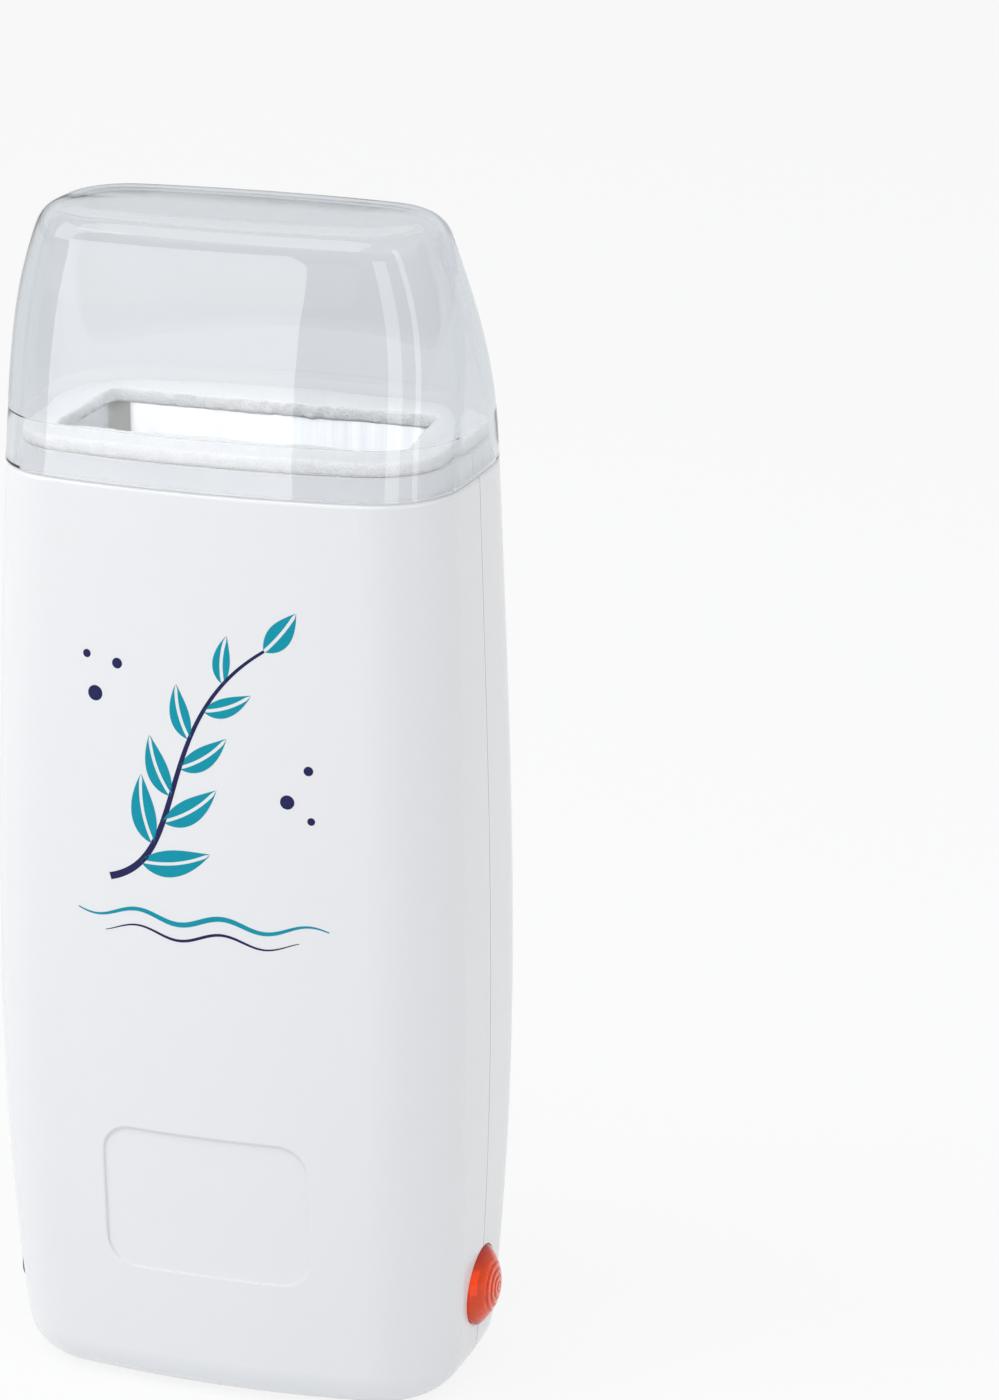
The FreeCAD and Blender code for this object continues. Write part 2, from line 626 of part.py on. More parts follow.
COVER_FOOT = "(body_height + cover_gap)"
COVER_TOP = "(body_height + cover_rise)"
CROWN_UNDER = f"({COVER_TOP} - crown_wall)"
DOME_WIDTH, DOME_DEPTH = f"({RIM_WIDTH} - dome_slim)", f"({RIM_DEPTH} - dome_thin)"
CROWN_WIDTH, CROWN_DEPTH = f"({RIM_WIDTH} - crown_slim)", f"({RIM_DEPTH} - crown_thin)"
CROWN_CORNER = f"({CROWN_DEPTH} / 2 - crown_flat)"
COVER_STATIONS = [(COVER_FOOT, RIM_WIDTH, RIM_DEPTH, "plan_corner", "0"),
                  ("(body_height + step_rise)", f"({RIM_WIDTH} - step_slim)", f"({RIM_DEPTH} - step_thin)",
                   "plan_corner", "0"),
                  ("(body_height + dome_rise)", DOME_WIDTH, DOME_DEPTH, "plan_corner", "dome_forward"),
                  (COVER_TOP, CROWN_WIDTH, CROWN_DEPTH, CROWN_CORNER, "crown_forward")]


def cover_loft(body, stations, inset, cut=False):
    sketches = []
    for level, width, depth, corner, forward in reversed(stations):
        sketch = new_sketch(body, "XY_Plane", "cover_outline", level)
        outline(sketch, width, depth, inset, corner, forward)
        sketches.append(sketch)
    doc.recompute()
    return loft(body, sketches, cut)


def cover():
    """A clear hood: a thin skirt over the neck, a step inside, and a thicker dome."""
    core = new_body("cover_core")
    share = "crown_wall / (cover_rise - dome_rise)"
    crown = (CROWN_UNDER, between(CROWN_WIDTH, DOME_WIDTH, share), between(CROWN_DEPTH, DOME_DEPTH, share),
             CROWN_CORNER, between("crown_forward", "dome_forward", share))
    cover_loft(core, COVER_STATIONS[:3] + [crown], "dome_wall")
    round_edges(core, "crown_round - crown_wall", level_edge(CROWN_UNDER))
    body = new_body("cover")
    cover_loft(body, COVER_STATIONS, "0")
    round_edges(body, "crown_round", level_edge(COVER_TOP))
    cut = body.newObject("PartDesign::Boolean", "cover_hollow")
    cut.Type = "Cut"
    cut.Group = [core]
    doc.recompute()
    cover_loft(body, COVER_STATIONS[:2], "skirt_wall", cut=True)
    return export(body)


# ---------------------------------------------------------------- mouth of the well

DECK_BOTTOM = f"({NECK_TOP} - deck_drop)"


def foam_gasket():
    body = new_body("foam_gasket")
    ring = new_sketch(body, "XY_Plane", "foam_outline", NECK_TOP)
    outline(ring, RIM_WIDTH, RIM_DEPTH, "foam_inset")
    pad(body, ring, "foam_sheet")
    mouth = new_sketch(body, "XY_Plane", "foam_mouth", NECK_TOP)
    half_x, half_y = "(well_width / 2 - foam_over_side)", "(well_depth / 2 - foam_over_face)"
    rounded_rectangle(mouth, f"-{half_x}", f"-{half_y}", half_x, half_y, "plate_bend")
    pocket(body, mouth, "foam_sheet", reverse=True)
    return export(body)


def deck_frame():
    """A deck under the foam, a collar round the plates, and a flange caught under the shoulder."""
    body = new_body("deck_frame")
    flange = new_sketch(body, "XY_Plane", "deck_flange", DECK_BOTTOM)
    outline(flange, RIM_WIDTH, RIM_DEPTH, "neck_inset + neck_wall + fit_gap - deck_catch")
    pad(body, flange, f"{WEB_UNDER} - fit_gap - {DECK_BOTTOM}")
    reach_x, reach_y = f"({PLATE_X} + fit_gap + deck_wall)", f"({PLATE_Y} + fit_gap + deck_wall)"
    collar = new_sketch(body, "XY_Plane", "deck_collar", DECK_BOTTOM)
    rounded_rectangle(collar, f"-{reach_x}", f"-{reach_y}", reach_x, reach_y, "plate_bend + deck_wall")
    pad(body, collar, "deck_drop")
    deck = new_sketch(body, "XY_Plane", "deck_top", f"{NECK_TOP} - deck_sheet")
    outline(deck, RIM_WIDTH, RIM_DEPTH, "neck_inset + neck_wall + fit_gap")
    pad(body, deck, "deck_sheet")
    mouth = new_sketch(body, "XY_Plane", "deck_mouth", NECK_TOP)
    across, deep = f"({PLATE_X} + fit_gap)", f"({PLATE_Y} + fit_gap)"
    rounded_rectangle(mouth, f"-{across}", f"-{deep}", across, deep, "plate_bend")
    pocket(body, mouth, "deck_drop")
    return export(body)


# ---------------------------------------------------------------- heated well

PLATE_TOP = f"({NECK_TOP} - fit_gap / 2)"
PLATE_FOOT = "(well_floor + fit_gap / 2)"
PLATE_TALL = f"({PLATE_TOP} - {PLATE_FOOT})"
CRADLE_TOP = "(well_floor + cradle_rise)"


def bent_channel(body, left, near, right, end, level, height):
    """A sheet bent to a channel: it is open towards the end, which may be ahead or behind."""
    ahead = number(end) > number(near)
    turn = 1 if ahead else -1
    outer = new_sketch(body, "XY_Plane", "channel_outside", level)
    inner = new_sketch(body, "XY_Plane", "channel_inside", level)
    past = f"({end} + {turn} * 4 * plate_bend)"
    low, high = (near, past) if ahead else (past, near)
    rounded_rectangle(outer, left, low, right, high, "plate_bend + plate_sheet")
    pad(body, outer, height)
    within = f"({near} + {turn} * plate_sheet)"
    low, high = (within, f"({past} - plate_sheet)") if ahead else (f"({past} + plate_sheet)", within)
    rounded_rectangle(inner, f"({left} + plate_sheet)", low, f"({right} - plate_sheet)", high, "plate_bend")
    pocket(body, inner, height, reverse=True)
    trim = new_sketch(body, "XY_Plane", "channel_trim", level)
    low, high = (end, past) if ahead else (past, end)
    rectangle(trim, left, low, right, high)
    pocket(body, trim, height, reverse=True)


def front_heat_plate():
    """The front and both sides of the well in one bent sheet."""
    body = new_body("front_heat_plate")
    bent_channel(body, f"-{PLATE_X}", f"-{PLATE_Y}", PLATE_X, "(well_depth / 2 - plate_gap)",
                 PLATE_FOOT, PLATE_TALL)
    return export(body)


def rear_heat_plate():
    """The back of the well, with stiffening flanges between the cradle and the deck."""
    body = new_body("rear_heat_plate")
    half = "(well_width / 2 - plate_gap)"
    bent_channel(body, f"-{half}", "(well_depth / 2)", half, "(well_depth / 2 + flange_reach)",
                 PLATE_FOOT, PLATE_TALL)
    plain = [(PLATE_FOOT, f"{CRADLE_TOP} + plate_gap"), (f"{DECK_BOTTOM} - plate_gap", PLATE_TOP)]
    for bottom, top in plain:
        trim = new_sketch(body, "YZ_Plane", "flange_trim", "-well_width / 2")
        rectangle(trim, PLATE_Y, bottom, f"{PLATE_Y} + flange_reach", top)
        pocket(body, trim, "well_width", reverse=True)
    for x, z in rivet_places():
        hole = new_sketch(body, "XZ_Plane", "rivet_hole", "-well_depth / 2")
        circle(hole, x, z, "rivet_size + fit_gap / 2")
        pocket(body, hole, "plate_sheet")
    return export(body)


def well_cradle():
    """A tray that carries the plates and the cartridge."""
    body = new_body("well_cradle")
    reach_x, reach_y = f"({PLATE_X} + fit_gap + cradle_wall)", f"({PLATE_Y} + fit_gap + cradle_wall)"
    tray = new_sketch(body, "XY_Plane", "tray", "well_floor - cradle_floor")
    rounded_rectangle(tray, f"-{reach_x}", f"-{reach_y}", reach_x, reach_y, "plate_bend + cradle_wall")
    pad(body, tray, "cradle_floor + cradle_rise")
    room = new_sketch(body, "XY_Plane", "tray_room", CRADLE_TOP)
    across, deep = f"({PLATE_X} + fit_gap)", f"({PLATE_Y} + fit_gap)"
    rounded_rectangle(room, f"-{across}", f"-{deep}", across, deep, "plate_bend")
    pocket(body, room, "cradle_rise")
    return export(body)


# ---------------------------------------------------------------- heating element

PLATE_BACK = PLATE_Y
ELEMENT_WIDE = "(well_width - 2 * element_margin)"
PAD_BACK = f"({PLATE_BACK} + element_thick + pad_sheet)"
ELEMENT_FOOT = f"({CRADLE_TOP} + element_lift)"
ELEMENT_TOP = f"({DECK_BOTTOM} - element_drop)"
FUSE_LEVEL = f"({ELEMENT_TOP} + fuse_rise)"
CLAMP_MIDDLE = f"(({ELEMENT_FOOT} + {ELEMENT_TOP}) / 2)"
CLAMP_OUTER = f"({ELEMENT_WIDE} / 2 + fit_gap + clamp_sheet)"
CLAMP_RIVET_X = f"({CLAMP_OUTER} + clamp_foot / 2)"
CLIP_ROOM = "(fuse_size / 2 + fit_gap / 2)"
CLIP_RIVET_Z = f"({FUSE_LEVEL} + {CLIP_ROOM} + clamp_sheet + rivet_head / 2)"


def rivet_places():
    """Where the rivets go through the rear plate: four for the clamp and one for the fuse clip."""
    places = [(f"{side} * {CLAMP_RIVET_X}", f"{CLAMP_MIDDLE} + {step} * clamp_width / 4")
              for side in (-1, 1) for step in (-1, 1)]
    return places + [("0", CLIP_RIVET_Z)]


TERMINAL_X = f"({ELEMENT_WIDE} / 4)"
TERMINAL_Y = f"({PLATE_BACK} + element_thick - lead_size / 2)"


def ptc_heater():
    """A flat aluminium-cased heating element with two terminals at its foot."""
    body = new_body("ptc_heater")
    case = new_sketch(body, "XY_Plane", "element_case", ELEMENT_FOOT)
    rounded_rectangle(case, f"-{ELEMENT_WIDE} / 2", PLATE_BACK, f"{ELEMENT_WIDE} / 2",
                      f"{PLATE_BACK} + element_thick", "element_thick / 4")
    pad(body, case, f"{ELEMENT_TOP} - {ELEMENT_FOOT}")
    for x in (TERMINAL_X, f"-{TERMINAL_X}"):
        terminal = new_sketch(body, "XY_Plane", "element_terminal", ELEMENT_FOOT)
        circle(terminal, x, TERMINAL_Y, "lead_size - 2 * fit_gap")
        pad(body, terminal, "terminal_length", reverse=True)
    return export(body)


def heater_pad():
    body = new_body("heater_pad")
    sheet_face = new_sketch(body, "XZ_Plane", "pad_face", f"-({PAD_BACK})")
    rectangle(sheet_face, f"-{ELEMENT_WIDE} / 2 + clamp_sheet", f"{ELEMENT_FOOT} + clamp_sheet",
              f"{ELEMENT_WIDE} / 2 - clamp_sheet", f"{ELEMENT_TOP} - clamp_sheet")
    pad(body, sheet_face, "pad_sheet")
    return export(body)


def heater_clamp():
    """A spring strap bent over the element, with a foot at each end."""
    body = new_body("heater_clamp")
    inner, outer = f"({ELEMENT_WIDE} / 2 + fit_gap)", CLAMP_OUTER
    toe, foot_back = f"({outer} + clamp_foot)", f"({PLATE_BACK} + clamp_sheet)"
    strap_back = f"({PAD_BACK} + clamp_sheet)"
    right = [(inner, PAD_BACK), (inner, PLATE_BACK), (toe, PLATE_BACK), (toe, foot_back),
             (outer, foot_back), (outer, strap_back)]
    left = [(f"-{x}", y) for x, y in reversed(right)]
    strap = new_sketch(body, "XY_Plane", "strap", f"{CLAMP_MIDDLE} - clamp_width / 2")
    polygon(strap, right + left)
    pad(body, strap, "clamp_width")
    for x, z in rivet_places()[:4]:
        hole = new_sketch(body, "XZ_Plane", "strap_hole", f"-({PLATE_BACK})")
        circle(hole, x, z, "rivet_size + fit_gap / 2")
        pocket(body, hole, "clamp_sheet")
    return export(body)


FUSE_Y = f"({PLATE_BACK} + fuse_size / 2)"
FUSE_END = "(fuse_length / 2 + terminal_length)"


def thermal_fuse():
    """A one-shot fuse lying across the plate, with its two wire ends."""
    body = new_body("thermal_fuse")
    can = new_sketch(body, "YZ_Plane", "fuse_can", "-fuse_length / 2", FUSE_LEVEL)
    circle(can, FUSE_Y, "0", "fuse_size")
    pad(body, can, "fuse_length")
    ends = new_sketch(body, "YZ_Plane", "fuse_ends", f"-{FUSE_END}", FUSE_LEVEL)
    circle(ends, FUSE_Y, "0", "lead_size - 2 * fit_gap")
    pad(body, ends, f"2 * {FUSE_END}")
    return export(body)


def fuse_clip():
    """A small strap bent round the fuse and riveted above it."""
    body = new_body("fuse_clip")
    back = f"({PLATE_BACK} + fuse_size + fit_gap / 2)"
    tab, outer = f"({PLATE_BACK} + clamp_sheet)", f"({CLIP_ROOM} + clamp_sheet)"
    toe = f"{outer} + rivet_head"
    corners = [(PLATE_BACK, CLIP_ROOM), (PLATE_BACK, toe), (tab, toe), (tab, outer),
               (f"{back} + clamp_sheet", outer), (f"{back} + clamp_sheet", f"-{outer}"),
               (tab, f"-{outer}"), (tab, f"-{CLIP_ROOM}"), (back, f"-{CLIP_ROOM}"), (back, CLIP_ROOM)]
    strap = new_sketch(body, "YZ_Plane", "clip", "-rivet_head / 2", FUSE_LEVEL)
    polygon(strap, corners)
    pad(body, strap, "rivet_head")
    hole = new_sketch(body, "XZ_Plane", "clip_hole", f"-({PLATE_BACK})")
    circle(hole, *rivet_places()[4], "rivet_size + fit_gap / 2")
    pocket(body, hole, "clamp_sheet")
    return export(body)


def plate_rivets():
    """Rivets flush in the well and domed behind the straps."""
    body = new_body("plate_rivets")
    for x, z in rivet_places():
        shank = new_sketch(body, "XZ_Plane", "rivet_shank", "-well_depth / 2")
        circle(shank, x, z, "rivet_size")
        pad(body, shank, "plate_sheet + clamp_sheet + rivet_rise / 2", reverse=True)
        head = new_sketch(body, "XZ_Plane", "rivet_head", f"-({PLATE_BACK} + clamp_sheet)")
        circle(head, x, z, "rivet_head")
        pad(body, head, "rivet_rise", reverse=True)
    return export(body)


def insulation(label, near):
    """A felt sheet between the well and the housing; near is its face towards the front."""
    body = new_body(label)
    face = new_sketch(body, "XZ_Plane", "felt", f"-({near})")
    rectangle(face, "-felt_width / 2", f"{CRADLE_TOP} + felt_lift", "felt_width / 2", ELEMENT_TOP)
    pad(body, face, "felt_sheet", reverse=True)
    return export(body)


# ---------------------------------------------------------------- pilot lamp

LENS_RING = f"({LENS_SEAT} + lens_rim)"


def pilot_lens():
    """A domed lens with saw-tooth rings inside, and a barrel that snaps behind the wall."""
    body = new_body("pilot_lens")
    sketch = new_sketch(body, "XZ_Plane", "lens_profile", "0", "lens_height")
    behind, end = f"({LENS_SEAT} - wall)", f"{LENS_SEAT} - lens_depth"
    barrel, bead = "lens_barrel / 2", "lens_barrel / 2 + lens_bead"
    tooth = "(lens_bore / 2 / ring_count)"
    corners = [(LENS_RING, "lens_size / 2"), (LENS_SEAT, "lens_size / 2"), (LENS_SEAT, barrel),
               (behind, barrel), (behind, bead), (f"{behind} - lens_bead", bead),
               (f"{behind} - 3 * lens_bead", barrel), (end, barrel), (end, "lens_bore / 2")]
    rings = int(number("ring_count"))
    for k in range(rings, 0, -1):
        corners.append((LENS_RING, f"{tooth} * {k}"))
        corners.append((f"{LENS_RING} + ring_rise", f"{tooth} * {k - 1}" if k > 1 else "0"))
    corners.append((f"{LENS_SEAT} + lens_rise", "0"))
    points = [Vector(number(x), number(y), 0) for x, y in corners]
    for here, there in zip(points, points[1:]):
        sketch.addGeometry(Part.LineSegment(here, there), False)
    sagitta, chord = number("lens_rise - lens_rim"), number("lens_size / 2")
    radius = (chord ** 2 + sagitta ** 2) / (2 * sagitta)
    middle = Vector(points[-1].x - radius, 0, 0)
    ring = Part.Circle(middle, Vector(0, 0, 1), radius)
    dome = sketch.addGeometry(Part.ArcOfCircle(ring, 0, math.asin(chord / radius)), False)
    last = len(points) - 2
    for k, (x, y) in enumerate(corners[:-1]):
        if k:
            sketch.addConstraint(Sketcher.Constraint("Coincident", k - 1, 2, k, 1))
        locate(sketch, k, 1, x, y)
    sketch.addConstraint(Sketcher.Constraint("Coincident", last, 2, dome, 1))
    locate(sketch, last, 2, *corners[-1])
    sketch.addConstraint(Sketcher.Constraint("Coincident", dome, 2, 0, 1))
    sketch.addConstraint(Sketcher.Constraint("PointOnObject", dome, 3, -1))
    revolve(body, sketch, "H_Axis")
    return export(body)


LAMP_TIP = f"({LENS_RING} - lamp_clear)"
LAMP_BASE = f"({LAMP_TIP} - lamp_length)"


def neon_lamp():
    """A glass lamp with a rounded tip and a pinched base."""
    body = new_body("neon_lamp")
    profile = new_sketch(body, "XZ_Plane", "lamp_profile", "0", "lens_height")
    half = "lamp_size / 2"
    polygon(profile, [(LAMP_BASE, "0"), (LAMP_TIP, "0"), (f"{LAMP_TIP} - {half} * 0.3", f"{half} * 0.7"),
                      (f"{LAMP_TIP} - {half}", half), (f"{LAMP_BASE} + {half}", half),
                      (LAMP_BASE, f"{half} * 0.7")])
    revolve(body, profile, "H_Axis")
    return export(body)


def lamp_holder():
    """A moulded post that stands on the housing floor and clips round the lamp."""
    body = new_body("lamp_holder")
    near, thick, half = f"{LAMP_BASE} + lamp_size / 4", "2 * wall", "(lamp_size / 2 + wall)"
    post = new_sketch(body, "YZ_Plane", "holder_post", near)
    rounded_rectangle(post, f"-{half}", "wall + fit_gap", half, f"lens_height + {half}", "wall")
    pad(body, post, thick)
    hole = new_sketch(body, "YZ_Plane", "holder_hole", near, "lens_height")
    circle(hole, "0", "0", "lamp_size + fit_gap")
    pocket(body, hole, thick, reverse=True)
    return export(body)


RESISTOR_Y = "(lamp_size / 4)"
RESISTOR_END = f"({LAMP_BASE} - 2 * resistor_gap - resistor_length)"


def lamp_resistor():
    """The lamp's series resistor on its bare wire."""
    body = new_body("lamp_resistor")
    profile = new_sketch(body, "XZ_Plane", "resistor_profile", RESISTOR_Y, "lens_height")
    thin, thick = "resistor_wire / 2", "resistor_size / 2"
    end, base = RESISTOR_END, f"{LAMP_BASE} - fit_gap / 2"
    near = f"({LAMP_BASE} - resistor_gap)"
    far = f"({near} - resistor_length)"
    polygon(profile, [(end, "0"), (base, "0"), (base, thin), (near, thin), (near, thick), (far, thick),
                      (far, thin), (end, thin)])
    revolve(body, profile, "H_Axis")
    return export(body)


# ---------------------------------------------------------------- mains inlet

def inlet_socket():
    """A dark block held in the seam, with a figure-of-eight socket."""
    body = new_body("inlet_socket")
    half_y, half_z = "inlet_width / 2", "inlet_tall / 2"
    face = new_sketch(body, "YZ_Plane", "inlet_block", f"-{INLET_FACE}", "inlet_height")
    rounded_rectangle(face, f"-{half_y}", f"-{half_z}", half_y, half_z, "inlet_corner")
    pad(body, face, "inlet_depth")
    round_edges(body, "inlet_round", side_edge(f"-{INLET_FACE}"))
    lip = new_sketch(body, "YZ_Plane", "inlet_lip", f"-{INLET_WALL} + wall + inlet_lip", "inlet_height")
    rounded_rectangle(lip, f"-{half_y} - inlet_lip", f"-{half_z} - inlet_lip", f"{half_y} + inlet_lip",
                      f"{half_z} + inlet_lip", "inlet_corner + inlet_lip")
    pad(body, lip, "2 * inlet_lip")
    for side in (-1, 1):
        lobe = new_sketch(body, "YZ_Plane", "socket_lobe", f"-{INLET_FACE}", "inlet_height")
        circle(lobe, f"{side} * socket_spread / 2", "0", "socket_lobe")
        pocket(body, lobe, "socket_depth", reverse=True)
    waist = new_sketch(body, "YZ_Plane", "socket_waist", f"-{INLET_FACE}", "inlet_height")
    rectangle(waist, "-socket_spread / 4", "-socket_waist / 2", "socket_spread / 4", "socket_waist / 2")
    pocket(body, waist, "socket_depth", reverse=True)
    for side in (-1, 1):
        hole = new_sketch(body, "YZ_Plane", "pin_hole", f"-{INLET_FACE} + socket_depth", "inlet_height")
        circle(hole, f"{side} * pin_spread / 2", "0", "pin_root + fit_gap / 4")
        pocket(body, hole, "inlet_depth - socket_depth", reverse=True)
    return export(body)


def inlet_pins():
    """Two pins with thicker roots that go through the block and end in round solder tags."""
    body = new_body("inlet_pins")
    for side in (-1, 1):
        pin = new_sketch(body, "YZ_Plane", "pin", f"-{INLET_FACE} + pin_short", "inlet_height")
        circle(pin, f"{side} * pin_spread / 2", "0", "pin_size")
        pad(body, pin, "socket_depth - pin_short")
        root = new_sketch(body, "YZ_Plane", "pin_root", f"-{INLET_FACE} + socket_depth", "inlet_height")
        circle(root, f"{side} * pin_spread / 2", "0", "pin_root")
        pad(body, root, "inlet_depth - socket_depth + tag_length")
    return export(body)


# ---------------------------------------------------------------- wiring

def lead_path(points, bend):
    """Straight runs joined by tangent arcs."""
    edges, here = [], points[0]
    for k in range(1, len(points) - 1):
        back = (points[k - 1] - points[k]).normalize()
        ahead = (points[k + 1] - points[k]).normalize()
        half = back.getAngle(ahead) / 2
        cut = bend / math.tan(half)
        start, end = points[k] + back * cut, points[k] + ahead * cut
        centre = points[k] + (back + ahead).normalize() * (bend / math.sin(half))
        middle = centre + (points[k] - centre).normalize() * bend
        edges += [Part.LineSegment(here, start).toShape(), Part.Arc(start, middle, end).toShape()]
        here = end
    edges.append(Part.LineSegment(here, points[-1]).toShape())
    return Part.Wire(edges)


def lead(label, routes):
    """Insulated leads of the heater's own wiring, one solid for each route."""
    solids = []
    for route in routes:
        points = [Vector(*(number(v) for v in place)) for place in route]
        path = lead_path(points, number("lead_bend"))
        along = points[1] - points[0]
        ring = Part.Wire(Part.Circle(points[0], along, number("lead_size / 2")).toShape())
        tube = path.makePipeShell([ring], True, True)
        expected = math.pi * number("lead_size / 2") ** 2 * path.Length
        if abs(tube.Volume - expected) > 0.01 * expected:
            raise ValueError(f"{label}: volume {tube.Volume:.1f}, expected {expected:.1f}")
        solids.append(tube)
    item = doc.addObject("Part::Feature", label)
    item.Label = label
    item.Shape = Part.Compound(solids) if len(solids) > 1 else solids[0]
    return export(item)


TAG_END = f"(-{INLET_FACE} + inlet_depth + tag_length)"
RISER_X = f"({CLAMP_OUTER} + clamp_foot + lead_clear + lead_size / 2)"
SPLICE_RING = "(lead_size * 0.6)"


def splice_point(side, wire):
    """Where a wire meets a splice cap: 0 comes from the inlet, 1 and 2 lie inwards and outwards."""
    x, y = f"cap_place - {SPLICE_RING}", f"{side} * pin_spread / 2"
    if wire:
        sway = -side if wire == 1 else side
        x = f"cap_place + {SPLICE_RING} / 2"
        y = f"{y} + {sway} * {SPLICE_RING} * {math.sqrt(0.75):.4f}"
    return x, y


def splice_caps():
    """Two closed-end caps that join an inlet lead, a heater lead and a lamp lead each."""
    body = new_body("splice_caps")
    for side in (-1, 1):
        cap = new_sketch(body, "XY_Plane", "cap", "cap_level")
        circle(cap, "cap_place", f"{side} * pin_spread / 2", "cap_size")
        pad(body, cap, "cap_length")
    round_edges(body, "cap_round", level_edge("cap_level + cap_length"))
    return export(body)


def drop_from_cap(side, wire, level):
    """The two first points of a lead that leaves a cap downwards."""
    x, y = splice_point(side, wire)
    return [(x, y, "cap_level - fit_gap / 2"), (x, y, level)]


def inlet_run(side):
    """From a solder tag inwards, then up into the cap."""
    x, y = splice_point(side, 0)
    return [(f"{TAG_END} + fit_gap / 2", y, "inlet_height"), (x, y, "inlet_height"),
            (x, y, "cap_level - fit_gap / 2")]


def wiring():
    """Live: inlet, cap, fuse, element. Neutral: inlet, cap, element. The lamp lies across the two."""
    foot = f"{ELEMENT_FOOT} - terminal_length - fit_gap / 2"
    wire_end = f"{FUSE_END} + fit_gap / 2"
    live, neutral = -1, 1
    riser = drop_from_cap(live, 1, "lead_across") + [
        (f"-{RISER_X}", TERMINAL_Y, "lead_across"), (f"-{RISER_X}", FUSE_Y, FUSE_LEVEL),
        (f"-({wire_end})", FUSE_Y, FUSE_LEVEL)]
    lead("live_lead", [inlet_run(live), riser])
    rise = drop_from_cap(neutral, 2, "lead_across") + [
        (f"-{TERMINAL_X}", TERMINAL_Y, "lead_across"), (f"-{TERMINAL_X}", TERMINAL_Y, foot)]
    lead("neutral_lead", [inlet_run(neutral), rise])
    turn = f"{foot} - 2 * lead_bend"
    link = [(wire_end, FUSE_Y, FUSE_LEVEL), (RISER_X, FUSE_Y, FUSE_LEVEL), (RISER_X, TERMINAL_Y, turn),
            (TERMINAL_X, TERMINAL_Y, turn), (TERMINAL_X, TERMINAL_Y, foot)]
    lead("fuse_lead", [link])
    lamp_leads = []
    for side, end in ((neutral, LAMP_BASE), (live, RESISTOR_END)):
        last = (f"{end} - fit_gap / 2", f"{side} * {RESISTOR_Y}", "lens_height")
        wire = 1 if side == neutral else 2
        lamp_leads.append(drop_from_cap(side, wire, "lens_height") + [last])
    lead("lamp_leads", lamp_leads)


def case_screws():
    """Four self-tapping screws, sunk in the rear half."""
    body = new_body("case_screws")
    under_head = "-screw_seat - fit_gap / 4"
    for x, z in screw_places():
        shank = new_sketch(body, "XZ_Plane", "screw_shank", under_head)
        circle(shank, x, z, "screw_shank")
        pad(body, shank, "screw_length")
        head = new_sketch(body, "XZ_Plane", "screw_head", under_head)
        circle(head, x, z, "screw_head")
        pad(body, head, "screw_head_height", reverse=True)
    return export(body)


def main():
    front_shell()
    rear_shell()
    cover()
    foam_gasket()
    deck_frame()
    front_heat_plate()
    rear_heat_plate()
    well_cradle()
    ptc_heater()
    heater_pad()
    heater_clamp()
    thermal_fuse()
    fuse_clip()
    plate_rivets()
    insulation("front_insulation", f"-({PLATE_Y} + fit_gap + felt_sheet)")
    insulation("rear_insulation", f"{PAD_BACK} + clamp_sheet + fit_gap / 2")
    pilot_lens()
    neon_lamp()
    lamp_holder()
    lamp_resistor()
    inlet_socket()
    inlet_pins()
    splice_caps()
    wiring()
    case_screws()
    doc.recompute()
    failed = [item.Name for item in doc.Objects if {"Invalid", "Error"} & set(item.State)]
    for item in exported:
        if item.Shape.isNull() or not item.Shape.isValid():
            failed.append(item.Label)
    if failed:
        raise ValueError(f"failed objects: {failed}")
    os.makedirs("parts", exist_ok=True)
    for item in exported:
        item.Shape.exportStep(f"parts/{item.Label}.step")
        print(f"{item.Label}: {len(item.Shape.Solids)} solids, {item.Shape.Volume:.0f} mm3")


main()
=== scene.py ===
# %% [markdown]
# # A heater for roll-on wax cartridges
#
# This heater is an upright, rounded box of glossy white plastic. A wax cartridge stands in its
# aluminium-lined well, a hand-cut ring of foam closes the gap round the cartridge, and a clear,
# slightly blue hood keeps the dust off. The CAD model already holds every solid at its real size.
# In this lesson we dress it: we read the frame, place the camera and the lights, write one
# finish for each material, and model the parts whose looks a plain solid can't carry.

# %% Load the frame
import json
import math

import bmesh
import bpy
import numpy
from mathutils import Matrix, Vector, noise
from mathutils.bvhtree import BVHTree


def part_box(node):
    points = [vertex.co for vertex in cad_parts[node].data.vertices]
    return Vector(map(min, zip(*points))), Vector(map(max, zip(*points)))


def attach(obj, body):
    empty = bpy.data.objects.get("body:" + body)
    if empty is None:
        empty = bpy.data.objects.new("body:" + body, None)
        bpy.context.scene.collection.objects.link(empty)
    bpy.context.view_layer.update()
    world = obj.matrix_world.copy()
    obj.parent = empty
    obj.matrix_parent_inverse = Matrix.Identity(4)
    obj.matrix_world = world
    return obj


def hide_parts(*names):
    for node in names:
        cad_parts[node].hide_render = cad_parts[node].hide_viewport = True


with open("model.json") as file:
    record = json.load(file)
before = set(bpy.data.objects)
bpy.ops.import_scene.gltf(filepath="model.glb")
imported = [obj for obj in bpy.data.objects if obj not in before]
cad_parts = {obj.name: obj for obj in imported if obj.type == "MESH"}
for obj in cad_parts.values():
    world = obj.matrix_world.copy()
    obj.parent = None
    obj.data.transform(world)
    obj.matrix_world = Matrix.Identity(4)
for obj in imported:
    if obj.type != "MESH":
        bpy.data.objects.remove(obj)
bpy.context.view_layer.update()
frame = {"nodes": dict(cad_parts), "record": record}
NODES = frame["nodes"]
print("CAD nodes:", len(NODES))

# %% [markdown]
# The scene is in metres, but a maker thinks in millimetres. One constant keeps the sizes
# readable: `3 * MM` is three millimetres. Everything that has to line up with a CAD part takes
# its place from that part's own box, so the pieces still fit if the CAD model changes.

